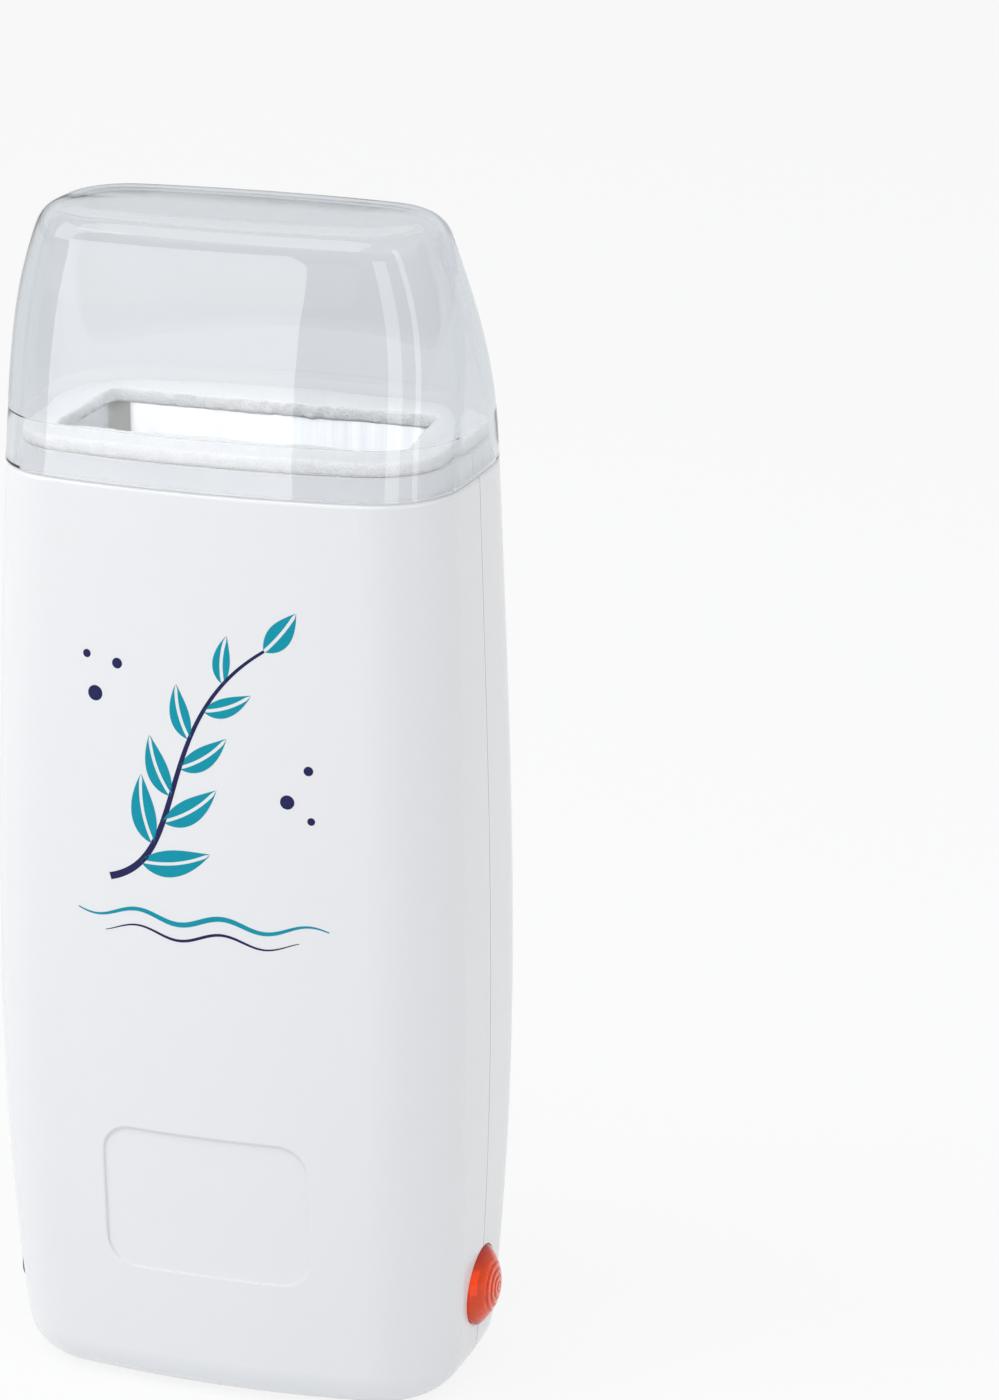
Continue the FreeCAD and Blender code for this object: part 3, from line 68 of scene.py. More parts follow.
# %% Measures
MM = 0.001
HOUSING, COVER = "housing", "cover"
SHELL_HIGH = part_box("front_shell")[1]
FOAM_LOW, FOAM_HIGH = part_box("foam_gasket")
print("housing height in mm:", round(SHELL_HIGH.z / MM, 1), "foam top in mm:", round(FOAM_HIGH.z / MM, 1))

# %% [markdown]
# ## Camera
#
# The heater is seen from a little to its right and from above, through a long lens, so its
# upright lines stay almost parallel. We build the camera's axes as vectors: `behind` points from
# the object to the camera, `across` is level, and `upright` completes the set. A small roll turns
# the last two, and two offsets slide the camera sideways to frame the heater off centre. The
# lens follows from the focal length in pixels and the height of the image.

# %% Camera
IMAGE_HIGH = 1400
FOCAL_PIXELS = 5001.0
SENSOR = 36.0
DISTANCE = 847.79 * MM
TURN, RISE, ROLL = math.radians(17.89), math.radians(17.63), math.radians(-0.31)
SLIDE_ACROSS, SLIDE_UP = 40.81 * MM, 36.21 * MM
AIM = Vector((0, 0, 80 * MM))

across = Vector((math.cos(TURN), math.sin(TURN), 0))
behind = Vector((math.sin(TURN) * math.cos(RISE), -math.cos(TURN) * math.cos(RISE), math.sin(RISE)))
upright = behind.cross(across)
camera_x = math.cos(ROLL) * across - math.sin(ROLL) * upright
camera_y = math.sin(ROLL) * across + math.cos(ROLL) * upright

lens = bpy.data.cameras.new("product_lens")
lens.sensor_width = SENSOR
lens.lens = FOCAL_PIXELS / IMAGE_HIGH * SENSOR
lens.clip_start, lens.clip_end = 0.01, 50
camera = bpy.data.objects.new("product_camera", lens)
bpy.context.scene.collection.objects.link(camera)
axes = Matrix((camera_x, camera_y, behind)).transposed().to_4x4()
place = AIM + DISTANCE * behind + SLIDE_ACROSS * across + SLIDE_UP * upright
camera.matrix_world = Matrix.Translation(place) @ axes
bpy.context.scene.camera = camera
print("lens in mm:", round(lens.lens, 1), "camera at", [round(v, 3) for v in camera.location])

# %% [markdown]
# ## Shader maths as Python
#
# A node tree is a picture of a formula, so we write formulas and let a small class draw the
# picture. A `Wire` wraps one output socket. Its operators add Math nodes, and each reflected
# form lets a plain number stand on the left, as in `1 - mask`. Every node comes from the one
# method `node`: settings first, because they can change which sockets exist, then values and
# links. `either` joins two masks, and `part` picks another output of the same node.

# %% The Wire class
class Wire:
    """One output socket in a node tree."""

    def __init__(self, tree, socket=None):
        self.tree, self.socket = tree, socket

    def node(self, kind, settings=None, inputs=None, output=0):
        """Add a node, give it its settings, then fill its sockets with values or links."""
        made = self.tree.nodes.new(kind)
        for name, value in (settings or {}).items():
            setattr(made, name, value)
        for name, value in (inputs or {}).items():
            if isinstance(value, Wire):
                self.tree.links.new(value.socket, made.inputs[name])
            else:
                made.inputs[name].default_value = value
        return Wire(self.tree, made.outputs[output]) if len(made.outputs) else None

    def math(self, operation, *values):
        """Add a Math node."""
        return self.node("ShaderNodeMath", {"operation": operation}, dict(enumerate(values)))

    def __add__(self, other):
        return self.math("ADD", self, other)

    def __radd__(self, other):
        return self.math("ADD", other, self)

    def __sub__(self, other):
        return self.math("SUBTRACT", self, other)

    def __rsub__(self, other):
        return self.math("SUBTRACT", other, self)

    def __mul__(self, other):
        return self.math("MULTIPLY", self, other)

    def __rmul__(self, other):
        return self.math("MULTIPLY", other, self)

    def either(self, other):
        """The larger of two values, which joins two masks."""
        return self.math("MAXIMUM", self, other)

    def part(self, name):
        """Another output of the node that this wire comes from."""
        return Wire(self.tree, self.socket.node.outputs[name])


print("operators ready: + - *")

# %% [markdown]
# A few helpers cover most finishes. `fresh` starts an empty material and `finished` closes it.
# `ramped` turns a value into a soft-edged mask. `mixed` blends two colours by a mask with a Mix
# node, because a Math node would turn a colour grey. `scaled` stretches the object's
# coordinates, which is how one noise, `grain`, becomes rolled lines or moulding flow, and
# `bumped` turns a height into a bump. `separate` splits a position into x, y and z.

# %% Material helpers
def fresh(name):
    """A new material with an empty tree, and a Wire to build from."""
    material = bpy.data.materials.new(name)
    material.use_nodes = True
    material.node_tree.nodes.clear()
    return material, Wire(material.node_tree)


def ramped(value, low, high):
    """0 below low, 1 above high, and smooth between them."""
    inputs = {"Value": value, "From Min": low, "From Max": high}
    return value.node("ShaderNodeMapRange", {"interpolation_type": "SMOOTHSTEP"}, inputs)


def mixed(mask, first, second):
    """One colour where the mask is 0 and the other where it is 1."""
    settings = {"data_type": "RGBA"}
    return mask.node("ShaderNodeMix", settings, {"Factor": mask, 6: first, 7: second}, output=2)


def own_place(root):
    """The object's own coordinates, in metres."""
    return root.node("ShaderNodeTexCoord").part("Object")


def separate(place):
    """The x, y and z of a position."""
    split = place.node("ShaderNodeSeparateXYZ", None, {0: place})
    return [split.part(axis) for axis in "XYZ"]


def scaled(root, x, y, z):
    """The object's own coordinates, stretched along its axes."""
    return root.node("ShaderNodeVectorMath", {"operation": "MULTIPLY"}, {0: own_place(root), 1: (x, y, z)})


def grain(root, scale, detail=3.0, rough=0.5, stretch=(1, 1, 1)):
    """Smooth noise from 0 to 1; scale counts its lumps in a metre."""
    inputs = {"Vector": scaled(root, *stretch), "Scale": scale, "Detail": detail, "Roughness": rough}
    return root.node("ShaderNodeTexNoise", {"noise_dimensions": "3D"}, inputs)


def bumped(height, depth, strength=1.0, under=None):
    """A bump from a height of 0 to 1, depth in metres, on top of another normal if given."""
    inputs = {"Height": height, "Distance": depth, "Strength": strength}
    if under is not None:
        inputs["Normal"] = under
    return height.node("ShaderNodeBump", None, inputs)


def finished(material, root, sockets):
    """Close a material with one Principled shader."""
    shader = root.node("ShaderNodeBsdfPrincipled", None, sockets)
    root.node("ShaderNodeOutputMaterial", None, {"Surface": shader})
    return material


def unless_shadow(root, surface, tint):
    """The given surface, but a tinted transparent one for shadow rays."""
    passing = root.node("ShaderNodeBsdfTransparent", None, {"Color": tint})
    shadow = root.node("ShaderNodeLightPath").part("Is Shadow Ray")
    return root.node("ShaderNodeMixShader", None, {0: shadow, 1: surface, 2: passing})


def placed(name, mesh):
    """A new object in the scene that carries a mesh or a lamp."""
    made = bpy.data.objects.new(name, mesh)
    bpy.context.scene.collection.objects.link(made)
    return made


def sewn(sheet, name, material):
    """Close a bmesh into an object with one material."""
    mesh = bpy.data.meshes.new(name)
    sheet.to_mesh(mesh)
    sheet.free()
    mesh.materials.append(material)
    return placed(name, mesh)


print("helpers ready")

# %% [markdown]
# ## Floor, room and lights
#
# The heater stands on a pale floor in a white studio. A pure white background never comes from
# more light, because that would burn out the white housing. Instead the floor answers the
# camera with a brighter, partly self-lit white, and does the same for mirror rays and rays through
# clear plastic, so that they see the same studio. For every other ray it is plain pale paint,
# which bounces soft light up onto the heater and takes its shadow.

# %% Floor
PURE_WHITE = (1, 1, 1, 1)
FLOOR_REACH = 40.0
FLOOR_PAINT, FLOOR_MOTTLE = (0.82, 0.835, 0.86, 1), (0.80, 0.82, 0.85, 1)
FLOOR_GLOW = 0.86
FLOOR_BELOW = 0.05 * MM

floor_paint, root = fresh("studio_floor_paint")
tone = mixed(grain(root, 3.0), FLOOR_PAINT, FLOOR_MOTTLE)
paint = root.node("ShaderNodeBsdfDiffuse", None, {"Color": tone})
glow = root.node("ShaderNodeEmission", None, {"Color": PURE_WHITE, "Strength": 1.0})
path = root.node("ShaderNodeLightPath")
sight = path.part("Is Camera Ray").either(path.part("Is Glossy Ray").either(path.part("Is Transmission Ray")))
shown = root.node("ShaderNodeMixShader", None, {0: sight * FLOOR_GLOW, 1: paint, 2: glow})
root.node("ShaderNodeOutputMaterial", None, {"Surface": shown})

sheet = bmesh.new()
bmesh.ops.create_grid(sheet, x_segments=12, y_segments=12, size=FLOOR_REACH)
floor = sewn(sheet, "studio_floor", floor_paint)
floor.location.z = -FLOOR_BELOW
print("floor reach in m:", FLOOR_REACH)

# %% [markdown]
# White gloss only reads as gloss if the room it mirrors isn't the same white all round. Our
# world is bright overhead and greyer towards the horizon, a little stronger in mirror rays than
# as light. The camera and rays through clear plastic see plain white.

# %% World
WORLD_LIGHT, WORLD_MIRRORED = 0.64, 0.85
HORIZON, HORIZON_HEIGHT, OVERHEAD_HEIGHT = (0.62, 0.64, 0.68, 1), -0.1, 0.7
world = bpy.data.worlds.new("studio_room")
world.use_nodes = True
world.node_tree.nodes.clear()
bpy.context.scene.world = world
root = Wire(world.node_tree)
height = separate(root.node("ShaderNodeTexCoord").part("Generated"))[2]
room = mixed(ramped(height, HORIZON_HEIGHT, OVERHEAD_HEIGHT), HORIZON, PURE_WHITE)
lit = root.node("ShaderNodeBackground", None, {"Color": room, "Strength": WORLD_LIGHT})
mirrored = root.node("ShaderNodeBackground", None, {"Color": room, "Strength": WORLD_MIRRORED})
white = root.node("ShaderNodeBackground", None, {"Color": PURE_WHITE, "Strength": 1.0})
path = root.node("ShaderNodeLightPath")
lighting = root.node("ShaderNodeMixShader", None, {0: path.part("Is Glossy Ray"), 1: lit, 2: mirrored})
seen = path.part("Is Camera Ray").either(path.part("Is Transmission Ray"))
surround = root.node("ShaderNodeMixShader", None, {0: seen, 1: lighting, 2: white})
root.node("ShaderNodeOutputWorld", None, {"Surface": surround})
print("world strength:", WORLD_LIGHT, "as light,", WORLD_MIRRORED, "in mirrors")

# %% [markdown]
# Three soft boxes light the heater, as in a product studio: a big one high on the left, which
# draws the long soft highlight, a wide one overhead, and a narrow, weaker one on the right that
# leaves that side a tone darker. Rays through clear plastic pass the lamps by, so a lamp shows
# as a reflection on the hood and never behind it.

# %% Lamps
def softbox(name, place, aim, size, power):
    """A rectangular lamp that looks at a point."""
    lamp = bpy.data.lights.new(name, "AREA")
    lamp.shape = "RECTANGLE"
    lamp.size, lamp.size_y = size
    lamp.energy = power
    held = placed(name, lamp)
    held.location = place
    held.rotation_euler = (Vector(place) - Vector(aim)).to_track_quat("Z", "Y").to_euler()
    held.visible_transmission = False
    return held


MIDDLE = (0, 0, 0.1)
softbox("left_softbox", (-1.0, -0.55, 0.70), MIDDLE, (0.7, 0.9), 4.1)
softbox("right_softbox", (0.95, -0.35, 0.45), MIDDLE, (0.14, 0.9), 1.0)
softbox("top_softbox", (-0.15, -0.45, 1.00), MIDDLE, (0.9, 0.6), 3.4)
print("lamps:", len(bpy.data.lights))

# %% [markdown]
# Two more panels are there for the clear hood. Clear plastic mirrors only a few percent of what
# faces it, so a panel has to be bright and close to the horizon to draw a soft rectangle on the
# front of the hood. Further down, light linking keeps both panels off everything else.

# %% Panels for the hood
HOOD_MIDDLE = (0, 0, 0.18)
PANEL_LEAN = 0.16
front_panel = softbox("front_panel", (-0.47, -0.89, 0.19), HOOD_MIDDLE, (0.72, 0.40), 2.8)
front_panel.rotation_euler.rotate_axis("Z", PANEL_LEAN)
side_panel = softbox("side_panel", (0.66, -0.76, 0.20), HOOD_MIDDLE, (0.30, 0.42), 0.9)
print("lamps now:", len(bpy.data.lights))

# %% [markdown]
# ## Finishes
#
# ### White moulded plastic
#
# The housing is glossy white ABS. Up close it isn't perfect: the tool leaves a very fine
# orange-peel texture, and the sheen varies a little where the plastic flowed. We keep the colour
# nearly even, let the roughness wander, and add a bump far below a tenth of a millimetre.
#
# The edge of the label recess on the front isn't knife-sharp either. The solid has the plain
# step; the soft fall of its edge is finer than the mesh, so we draw it as a bump. The formula is
# the usual one for the distance to a rounded rectangle: negative inside, zero on the line.

# %% The soft edge of the label recess
LABEL_HALF_WIDE, LABEL_CORNER = 18.1 * MM, 5.0 * MM
LABEL_LOW, LABEL_TOP = 23.6 * MM, 49.4 * MM
LABEL_FALL, LABEL_DEPTH = 0.40 * MM, 0.26 * MM
FRONT_ENDS, FRONT_STARTS = -5 * MM, -10 * MM


def label_edge(root):
    """0 in the label recess, 1 outside it, with a soft fall between them."""
    x, y, z = separate(own_place(root))
    wide = x.math("ABSOLUTE", x) - (LABEL_HALF_WIDE - LABEL_CORNER)
    up = z - (LABEL_LOW + LABEL_TOP) / 2
    high = up.math("ABSOLUTE", up) - ((LABEL_TOP - LABEL_LOW) / 2 - LABEL_CORNER)
    far_x, far_z = wide.either(0), high.either(0)
    corner = far_x.math("SQRT", far_x * far_x + far_z * far_z)
    side = wide.either(high)
    distance = corner + side.math("MINIMUM", side, 0) - LABEL_CORNER
    return ramped(distance, -LABEL_FALL, LABEL_FALL).either(ramped(y, FRONT_STARTS, FRONT_ENDS))


print("label recess in mm:", 2 * LABEL_HALF_WIDE / MM, "by", round((LABEL_TOP - LABEL_LOW) / MM, 1))

# %% White moulded plastic
def white_abs():
    """Glossy moulded plastic, nearly even, with a fine orange peel."""
    material, root = fresh("white_abs")
    flow = grain(root, 26.0, detail=4.0, stretch=(1, 1, 0.35))
    peel = grain(root, 1400.0, detail=2.0)
    soft_edge = bumped(label_edge(root), LABEL_DEPTH)
    tone = mixed(flow, (0.885, 0.893, 0.902, 1), (0.905, 0.910, 0.914, 1))
    return finished(material, root, {
        "Base Color": tone, "Roughness": 0.20 + flow * 0.10,
        "Normal": bumped(peel, 0.02 * MM, 0.25, soft_edge),
        "IOR": 1.53, "Coat Weight": 0.35, "Coat Roughness": 0.08})


WHITE = white_abs()
print("finish:", WHITE.name)

# %% [markdown]
# ### Clear hood
#
# The hood is a thick injection moulding in clear plastic with a touch of blue. It is real
# glass to the renderer: two surfaces a wall apart, so the edge of the step and the rim of the
# crown darken by themselves. The base colour tints every crossing of a surface, and the
# absorption deepens the blue with the length of the way through the plastic. Fine wipe marks and
# a slow waviness of the moulding break up the reflections. Lamps would make noisy bright patches
# through refraction, so shadow rays meet a tinted transparent shader instead.

# %% Clear hood
HOOD_TINT, HOOD_PALER = (0.948, 0.938, 0.938, 1), (0.958, 0.948, 0.948, 1)
HOOD_ABSORBS, HOOD_KEEPS = 70.0, (0.14, 0.33, 0.47, 1)
HOOD_SHADOW = (0.985, 0.975, 0.970, 1)


def clear_plastic():
    """Thick clear plastic with a touch of blue."""
    material, root = fresh("clear_cover")
    wave = grain(root, 30.0, detail=1.0)
    wiped = grain(root, 700.0, detail=3.0, stretch=(1, 1, 0.12))
    glass = root.node("ShaderNodeBsdfPrincipled", None, {
        "Base Color": mixed(wave, HOOD_TINT, HOOD_PALER), "Roughness": ramped(wiped, 0.45, 0.9) * 0.02,
        "IOR": 1.49, "Transmission Weight": 1.0, "Normal": bumped(wave, 0.15 * MM, 0.4)})
    surface = unless_shadow(root, glass, HOOD_SHADOW)
    depth = root.node("ShaderNodeVolumeAbsorption", None, {"Color": HOOD_KEEPS, "Density": HOOD_ABSORBS})
    root.node("ShaderNodeOutputMaterial", None, {"Surface": surface, "Volume": depth})
    return material


HOOD = clear_plastic()
print("finish:", HOOD.name)

# %% [markdown]
# ### Foam
#
# The gasket is soft open-cell foam. Its skin is a field of tiny pits, which a Voronoi texture
# gives: the distance to the nearest cell centre is the depth of the pit, and the same value
# darkens the colour in it as painted shade in the pits. Light wanders a few millimetres into foam
# and comes out again, so some subsurface scattering softens its shading.

# %% Foam
def open_foam():
    """Soft off-white foam with tiny pits, painted darker inside as shade."""
    material, root = fresh("foam")
    cells = root.node("ShaderNodeTexVoronoi", {"feature": "F1"}, {"Vector": own_place(root), "Scale": 2600.0})
    soft = grain(root, 160.0, detail=4.0)
    pit_depth_and_shade = ramped(cells, 0.15, 0.65)
    # Painted shade: the pit depth darkens the colour as shade in the pits; the soft noise is the foam's own
    # uneven tone.
    tone = mixed(pit_depth_and_shade * 0.6 + soft * 0.4, (0.92, 0.905, 0.89, 1), (0.98, 0.965, 0.95, 1))
    return finished(material, root, {
        "Base Color": tone, "Roughness": 0.85 + soft * 0.12,
        "Subsurface Weight": 0.6, "Subsurface Radius": (1, 1, 1), "Subsurface Scale": 3 * MM,
        "Normal": bumped(pit_depth_and_shade, 0.12 * MM, 0.7, bumped(soft, 0.4 * MM, 0.5)), "Sheen Weight": 0.2})


FOAM = open_foam()
print("finish:", FOAM.name)

# %% [markdown]
# ### Metals
#
# Rolled aluminium shows fine lines along the rolling direction. One noise, stretched along the
# lines, gives them in the colour, the roughness and the bump. A table of values and one function
# serve the aluminium, the spring steel, the nickel-plated pins and the zinc screws. The sheet in
# the well is so finely scored that it scatters light almost like white paint, so it is only
# partly metallic.

# %% Metals
def rolled_metal(name, dull, bright, roughness, stretch, metal=1.0):
    """Rolled or drawn metal; the stretch is small along the lines."""
    material, root = fresh(name)
    lines = grain(root, 900.0, detail=4.0, rough=0.65, stretch=stretch)
    cloud = grain(root, 60.0, detail=3.0)
    tone = mixed(lines * 0.7 + cloud * 0.3, (*dull, 1), (*bright, 1))
    return finished(material, root, {
        "Base Color": tone, "Metallic": metal, "Roughness": roughness + lines * 0.14 + cloud * 0.08,
        "Normal": bumped(lines, 0.03 * MM, 0.6)})


METAL = {
    "heat_plate": ((0.58, 0.59, 0.61), (0.99, 0.99, 0.99), 0.32, (1, 1, 0.03), 0.25),
    "element_case": ((0.66, 0.67, 0.69), (0.80, 0.81, 0.83), 0.34, (1, 1, 0.05)),
    "spring_steel": ((0.50, 0.50, 0.51), (0.68, 0.68, 0.69), 0.30, (0.04, 1, 1)),
    "pin_metal": ((0.62, 0.58, 0.50), (0.80, 0.77, 0.70), 0.22, (0.05, 1, 1)),
    "screw_steel": ((0.46, 0.47, 0.50), (0.62, 0.63, 0.66), 0.30, (1, 0.2, 1)),
}
SLOTS = {name: rolled_metal(name, *values) for name, values in METAL.items()}
print("metals:", len(SLOTS))

# %% [markdown]
# ### Inner plastics, felt and leads
#
# Behind the housing sit matte mouldings, felt and silicone leads. They hardly show, but each
# still gets a colour that varies, a roughness and a texture at its own scale. Another table and
# one more function keep this short.

# %% Matte finishes
def matte(name, dark, pale, roughness, scale, depth):
    """A speckled finish; the depth of its texture is in millimetres."""
    material, root = fresh(name)
    speck = grain(root, scale, detail=4.0, rough=0.6)
    return finished(material, root, {
        "Base Color": mixed(speck, (*dark, 1), (*pale, 1)), "Roughness": roughness + speck * 0.12,
        "Normal": bumped(speck, depth * MM, 0.5)})


MATTE = {
    "inner_plastic": ((0.70, 0.69, 0.64), (0.80, 0.79, 0.75), 0.42, 300.0, 0.03),
    "polyimide": ((0.50, 0.24, 0.03), (0.66, 0.36, 0.08), 0.25, 120.0, 0.02),
    "felt": ((0.72, 0.70, 0.66), (0.88, 0.86, 0.83), 0.85, 1100.0, 0.25),
    "resistor_body": ((0.52, 0.40, 0.24), (0.64, 0.51, 0.34), 0.30, 500.0, 0.02),
    "inlet_black": ((0.018, 0.020, 0.024), (0.035, 0.037, 0.042), 0.34, 800.0, 0.03),
    "cap_nylon": ((0.68, 0.68, 0.66), (0.80, 0.80, 0.78), 0.40, 400.0, 0.03),
    "lead_brown": ((0.17, 0.065, 0.03), (0.26, 0.11, 0.05), 0.40, 500.0, 0.02),
    "lead_blue": ((0.035, 0.12, 0.34), (0.06, 0.18, 0.46), 0.40, 500.0, 0.02),
    "lead_white": ((0.72, 0.72, 0.70), (0.84, 0.84, 0.82), 0.40, 500.0, 0.02),
}
SLOTS.update({name: matte(name, *values) for name, values in MATTE.items()})
print("matte finishes:", len(MATTE))

# %% [markdown]
# ### Pilot lens and lamp
#
# The lens is moulded in clear red-amber acrylic with fine rings. The solid is the plain dome;
# the rings are a sine of the distance from its middle, in the bump and in the colour, and they
# fade out before the rim. In the colour their bands are painted shade and painted highlight of the
# ring ridges. The shader is partly clear, and a faint glow stands for the neon lamp behind it.
# That lamp's light is also painted into the colour: the middle of the lens is painted orange as
# lamp light, while the rim is painted deep red as shade. The painted middle is an oval that is long
# from front to back, so the painted shade shows mostly above and below.

# %% Pilot lens and lamp
LENS_RING_STEP = 1.1 * MM
# Painted light: the rim colour is painted shade; the dark and bright ring colours are painted ring shade and
# painted lamp light.
LENS_SHADED_RIM, LENS_RING_SHADE, LENS_LAMP_LIT = (0.34, 0.006, 0.003, 1), (0.30, 0.008, 0.002, 1), (1.0, 0.140, 0.003, 1)
LENS_SHADOW = (0.95, 0.30, 0.08, 1)
OVAL = 0.35


def amber_acrylic():
    """Red-amber acrylic with rings, painted lamp light in the middle and painted shade at the rim."""
    material, root = fresh("amber_lens")
    wave = grain(root, 220.0, detail=2.0)
    low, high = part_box("pilot_lens")
    y, z = separate(own_place(root))[1:]
    aside, above = y - (low.y + high.y) / 2, z - (low.z + high.z) / 2
    reach = aside.math("SQRT", aside * aside + above * above)
    flat_reach = aside.math("SQRT", aside * aside * OVAL + above * above)
    ringed = 1 - ramped(reach, 3.8 * MM, 5.2 * MM)
    # The rings' sine is a real relief in the bump, and painted shade and highlight in the colour.
    rings = 0.5 + 0.5 * ringed * reach.math("SINE", reach * (2 * math.pi / LENS_RING_STEP))
    # Painted light: an orange oval in the middle is painted lamp light from behind; the deep red rim outside it
    # is painted shade.
    middle = 1 - ramped(flat_reach, 4.3 * MM, 7.2 * MM)
    tone = mixed(middle, LENS_SHADED_RIM, mixed(rings * 0.8 + wave * 0.2, LENS_RING_SHADE, LENS_LAMP_LIT))
    acrylic = root.node("ShaderNodeBsdfPrincipled", None, {
        "Base Color": tone, "Roughness": 0.04 + wave * 0.05, "IOR": 1.49, "Transmission Weight": 0.55,
        "Emission Color": tone, "Emission Strength": 0.19, "Specular IOR Level": 0.35,
        "Normal": bumped(rings, 0.16 * MM, 0.8)})
    surface = unless_shadow(root, acrylic, LENS_SHADOW)
    root.node("ShaderNodeOutputMaterial", None, {"Surface": surface})
    return material


def lamp_glass():
    """The neon lamp's glass, glowing orange."""
    material, root = fresh("lamp_glass")
    haze = grain(root, 500.0)
    glow = mixed(haze, (1.0, 0.33, 0.08, 1), (1.0, 0.42, 0.12, 1))
    return finished(material, root, {
        "Base Color": mixed(haze, (0.95, 0.50, 0.22, 1), (0.98, 0.62, 0.34, 1)),
        "Roughness": 0.12 + haze * 0.1, "Emission Color": glow, "Emission Strength": 1.5,
        "Normal": bumped(haze, 0.02 * MM, 0.3)})


SLOTS["amber_lens"] = amber_acrylic()
SLOTS["lamp_glass"] = lamp_glass()
print("lens and lamp ready")

# %% [markdown]
# ## Dress the CAD nodes
#
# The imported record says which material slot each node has. We point every node at the finish of
# that slot, and ask for smooth shading with sharp edges kept, so that the finely faceted solids
# look as round as they are.

# %% Dress the CAD nodes
SLOTS.update({"white_abs": WHITE, "clear_cover": HOOD, "foam": FOAM})
SHARP = math.radians(28)


def smooth(mesh):
    """Shade smooth, but keep a crisp line where two faces meet at more than the sharp angle."""
    mesh.shade_smooth()
    mesh.set_sharp_from_angle(angle=SHARP)


for part in frame["record"]["subparts"]:
    item = NODES[part["node"]]
    item.data.materials.clear()
    item.data.materials.append(SLOTS[part["material_slot"]])
    smooth(item.data)

# %% [markdown]
# ## The foam gasket
#
# In the CAD model the gasket is a plain ring. The real one is cut out of foam sheet with a knife,
# so its edges wander by a few tenths of a millimetre, its top isn't quite flat, and its cut wall
# is torn in places. We don't retype its size. From the middle of the well we shoot a ray in
# each direction to find the mouth, and from outside one back in to find the outline. Between
# those two edges we lay a rounded section, push each edge in or out by noise, and sew the
# sections into one closed ring.

# %% Edges of the gasket, measured on the CAD node
ROUND = 900
FAR = 0.2


def surface_of(node):
    """A tree of a node's faces that rays can be shot at."""
    return BVHTree.FromPolygons([v.co.copy() for v in NODES[node].data.vertices],
                                [tuple(p.vertices) for p in NODES[node].data.polygons])


foam_faces = surface_of("foam_gasket")
centre = Vector((0, 0, (FOAM_LOW.z + FOAM_HIGH.z) / 2))
edges = []
for step in range(ROUND):
    angle = 2 * math.pi * step / ROUND
    way = Vector((math.cos(angle), math.sin(angle), 0))
    mouth = foam_faces.ray_cast(centre, way)[0]
    outline = foam_faces.ray_cast(centre + way * FAR, -way)[0]
    edges.append((mouth, outline, way))
print("half widths in mm, mouth and outline:", [round(point.x / MM, 2) for point in edges[0][:2]])

# %% Sew the gasket
# One point of the section is: where it lies between mouth (0) and outline (1), how far in mm it
# is moved in from there, and its share of the height.
SECTION = [
    (0, 0.50, 0.00), (0, 0.12, 0.04), (0, 0.00, 0.22), (0, 0.00, 0.50), (0, 0.00, 0.80), (0, 0.06, 0.97),
    (0, 0.22, 1.00), (0, 1.00, 1.00), (0.35, 0, 1.00), (0.65, 0, 1.00), (1, 1.00, 1.00), (1, 0.30, 0.99),
    (1, 0.08, 0.93), (1, 0.00, 0.62), (1, 0.00, 0.30), (1, 0.02, 0.04), (1, 0.15, 0.00)]
TEAR, WANDER, FALL = 0.50 * MM, 0.50 * MM, 0.20 * MM
TEARS, WANDERS, FALLS = 620, 95, 130
OUTER_CALM, INNER_CALM = 0.45, 0.3
OUTLINE_IN, TOP_DOWN = 0.1 * MM, 0.05 * MM


def foam_point(mouth, outline, way, share, inset, height):
    """One point of the section, pushed about by noise near the two edges."""
    at_mouth = share < 0.5
    inward = inset * MM if at_mouth else -inset * MM
    place = mouth.lerp(outline, share) + way * inward
    slow = noise.noise(place * WANDERS + Vector((7, 0, 0)))
    fine = noise.noise(Vector((place.x, place.y, height * 0.004)) * TEARS)
    torn = 1.0 if at_mouth else OUTER_CALM
    near = 1.0 if share in (0, 1) else INNER_CALM
    push = (slow * WANDER + fine * TEAR) * torn * near
    place = place + way * (push - (OUTLINE_IN if share == 1 else 0))
    top = FOAM_HIGH.z + noise.noise(place * FALLS) * FALL - TOP_DOWN
    place.z = FOAM_LOW.z + (top - FOAM_LOW.z) * height
    return place


ring = bmesh.new()
sections = [[ring.verts.new(foam_point(*edge, *spot)) for spot in SECTION] for edge in edges]
for here, there in zip(sections, sections[1:] + sections[:1]):
    for k in range(len(SECTION)):
        after = (k + 1) % len(SECTION)
        ring.faces.new((here[k], here[after], there[after], there[k]))
bmesh.ops.recalc_face_normals(ring, faces=ring.faces)
foam = sewn(ring, "cut_foam_gasket", FOAM)
foam.data.shade_smooth()
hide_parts("foam_gasket")
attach(foam, HOUSING)
top = max(v.co.z for v in foam.data.vertices)
print("gasket:", len(foam.data.polygons), "faces, top in mm:", round(top / MM, 2))

# %% [markdown]
# ## The tongue in the seam
#
# Where two halves of a housing meet, one carries a thin tongue that stands in a groove of the
# other, so that no light shows through the joint. The solids only have the joint's hairline gap.
# We add the tongue as a slim bar in the middle of each side wall, from above the lens and the
# inlet up to the neck. A ray from outside finds the wall at every height, so the bar follows the
# barrel shape.

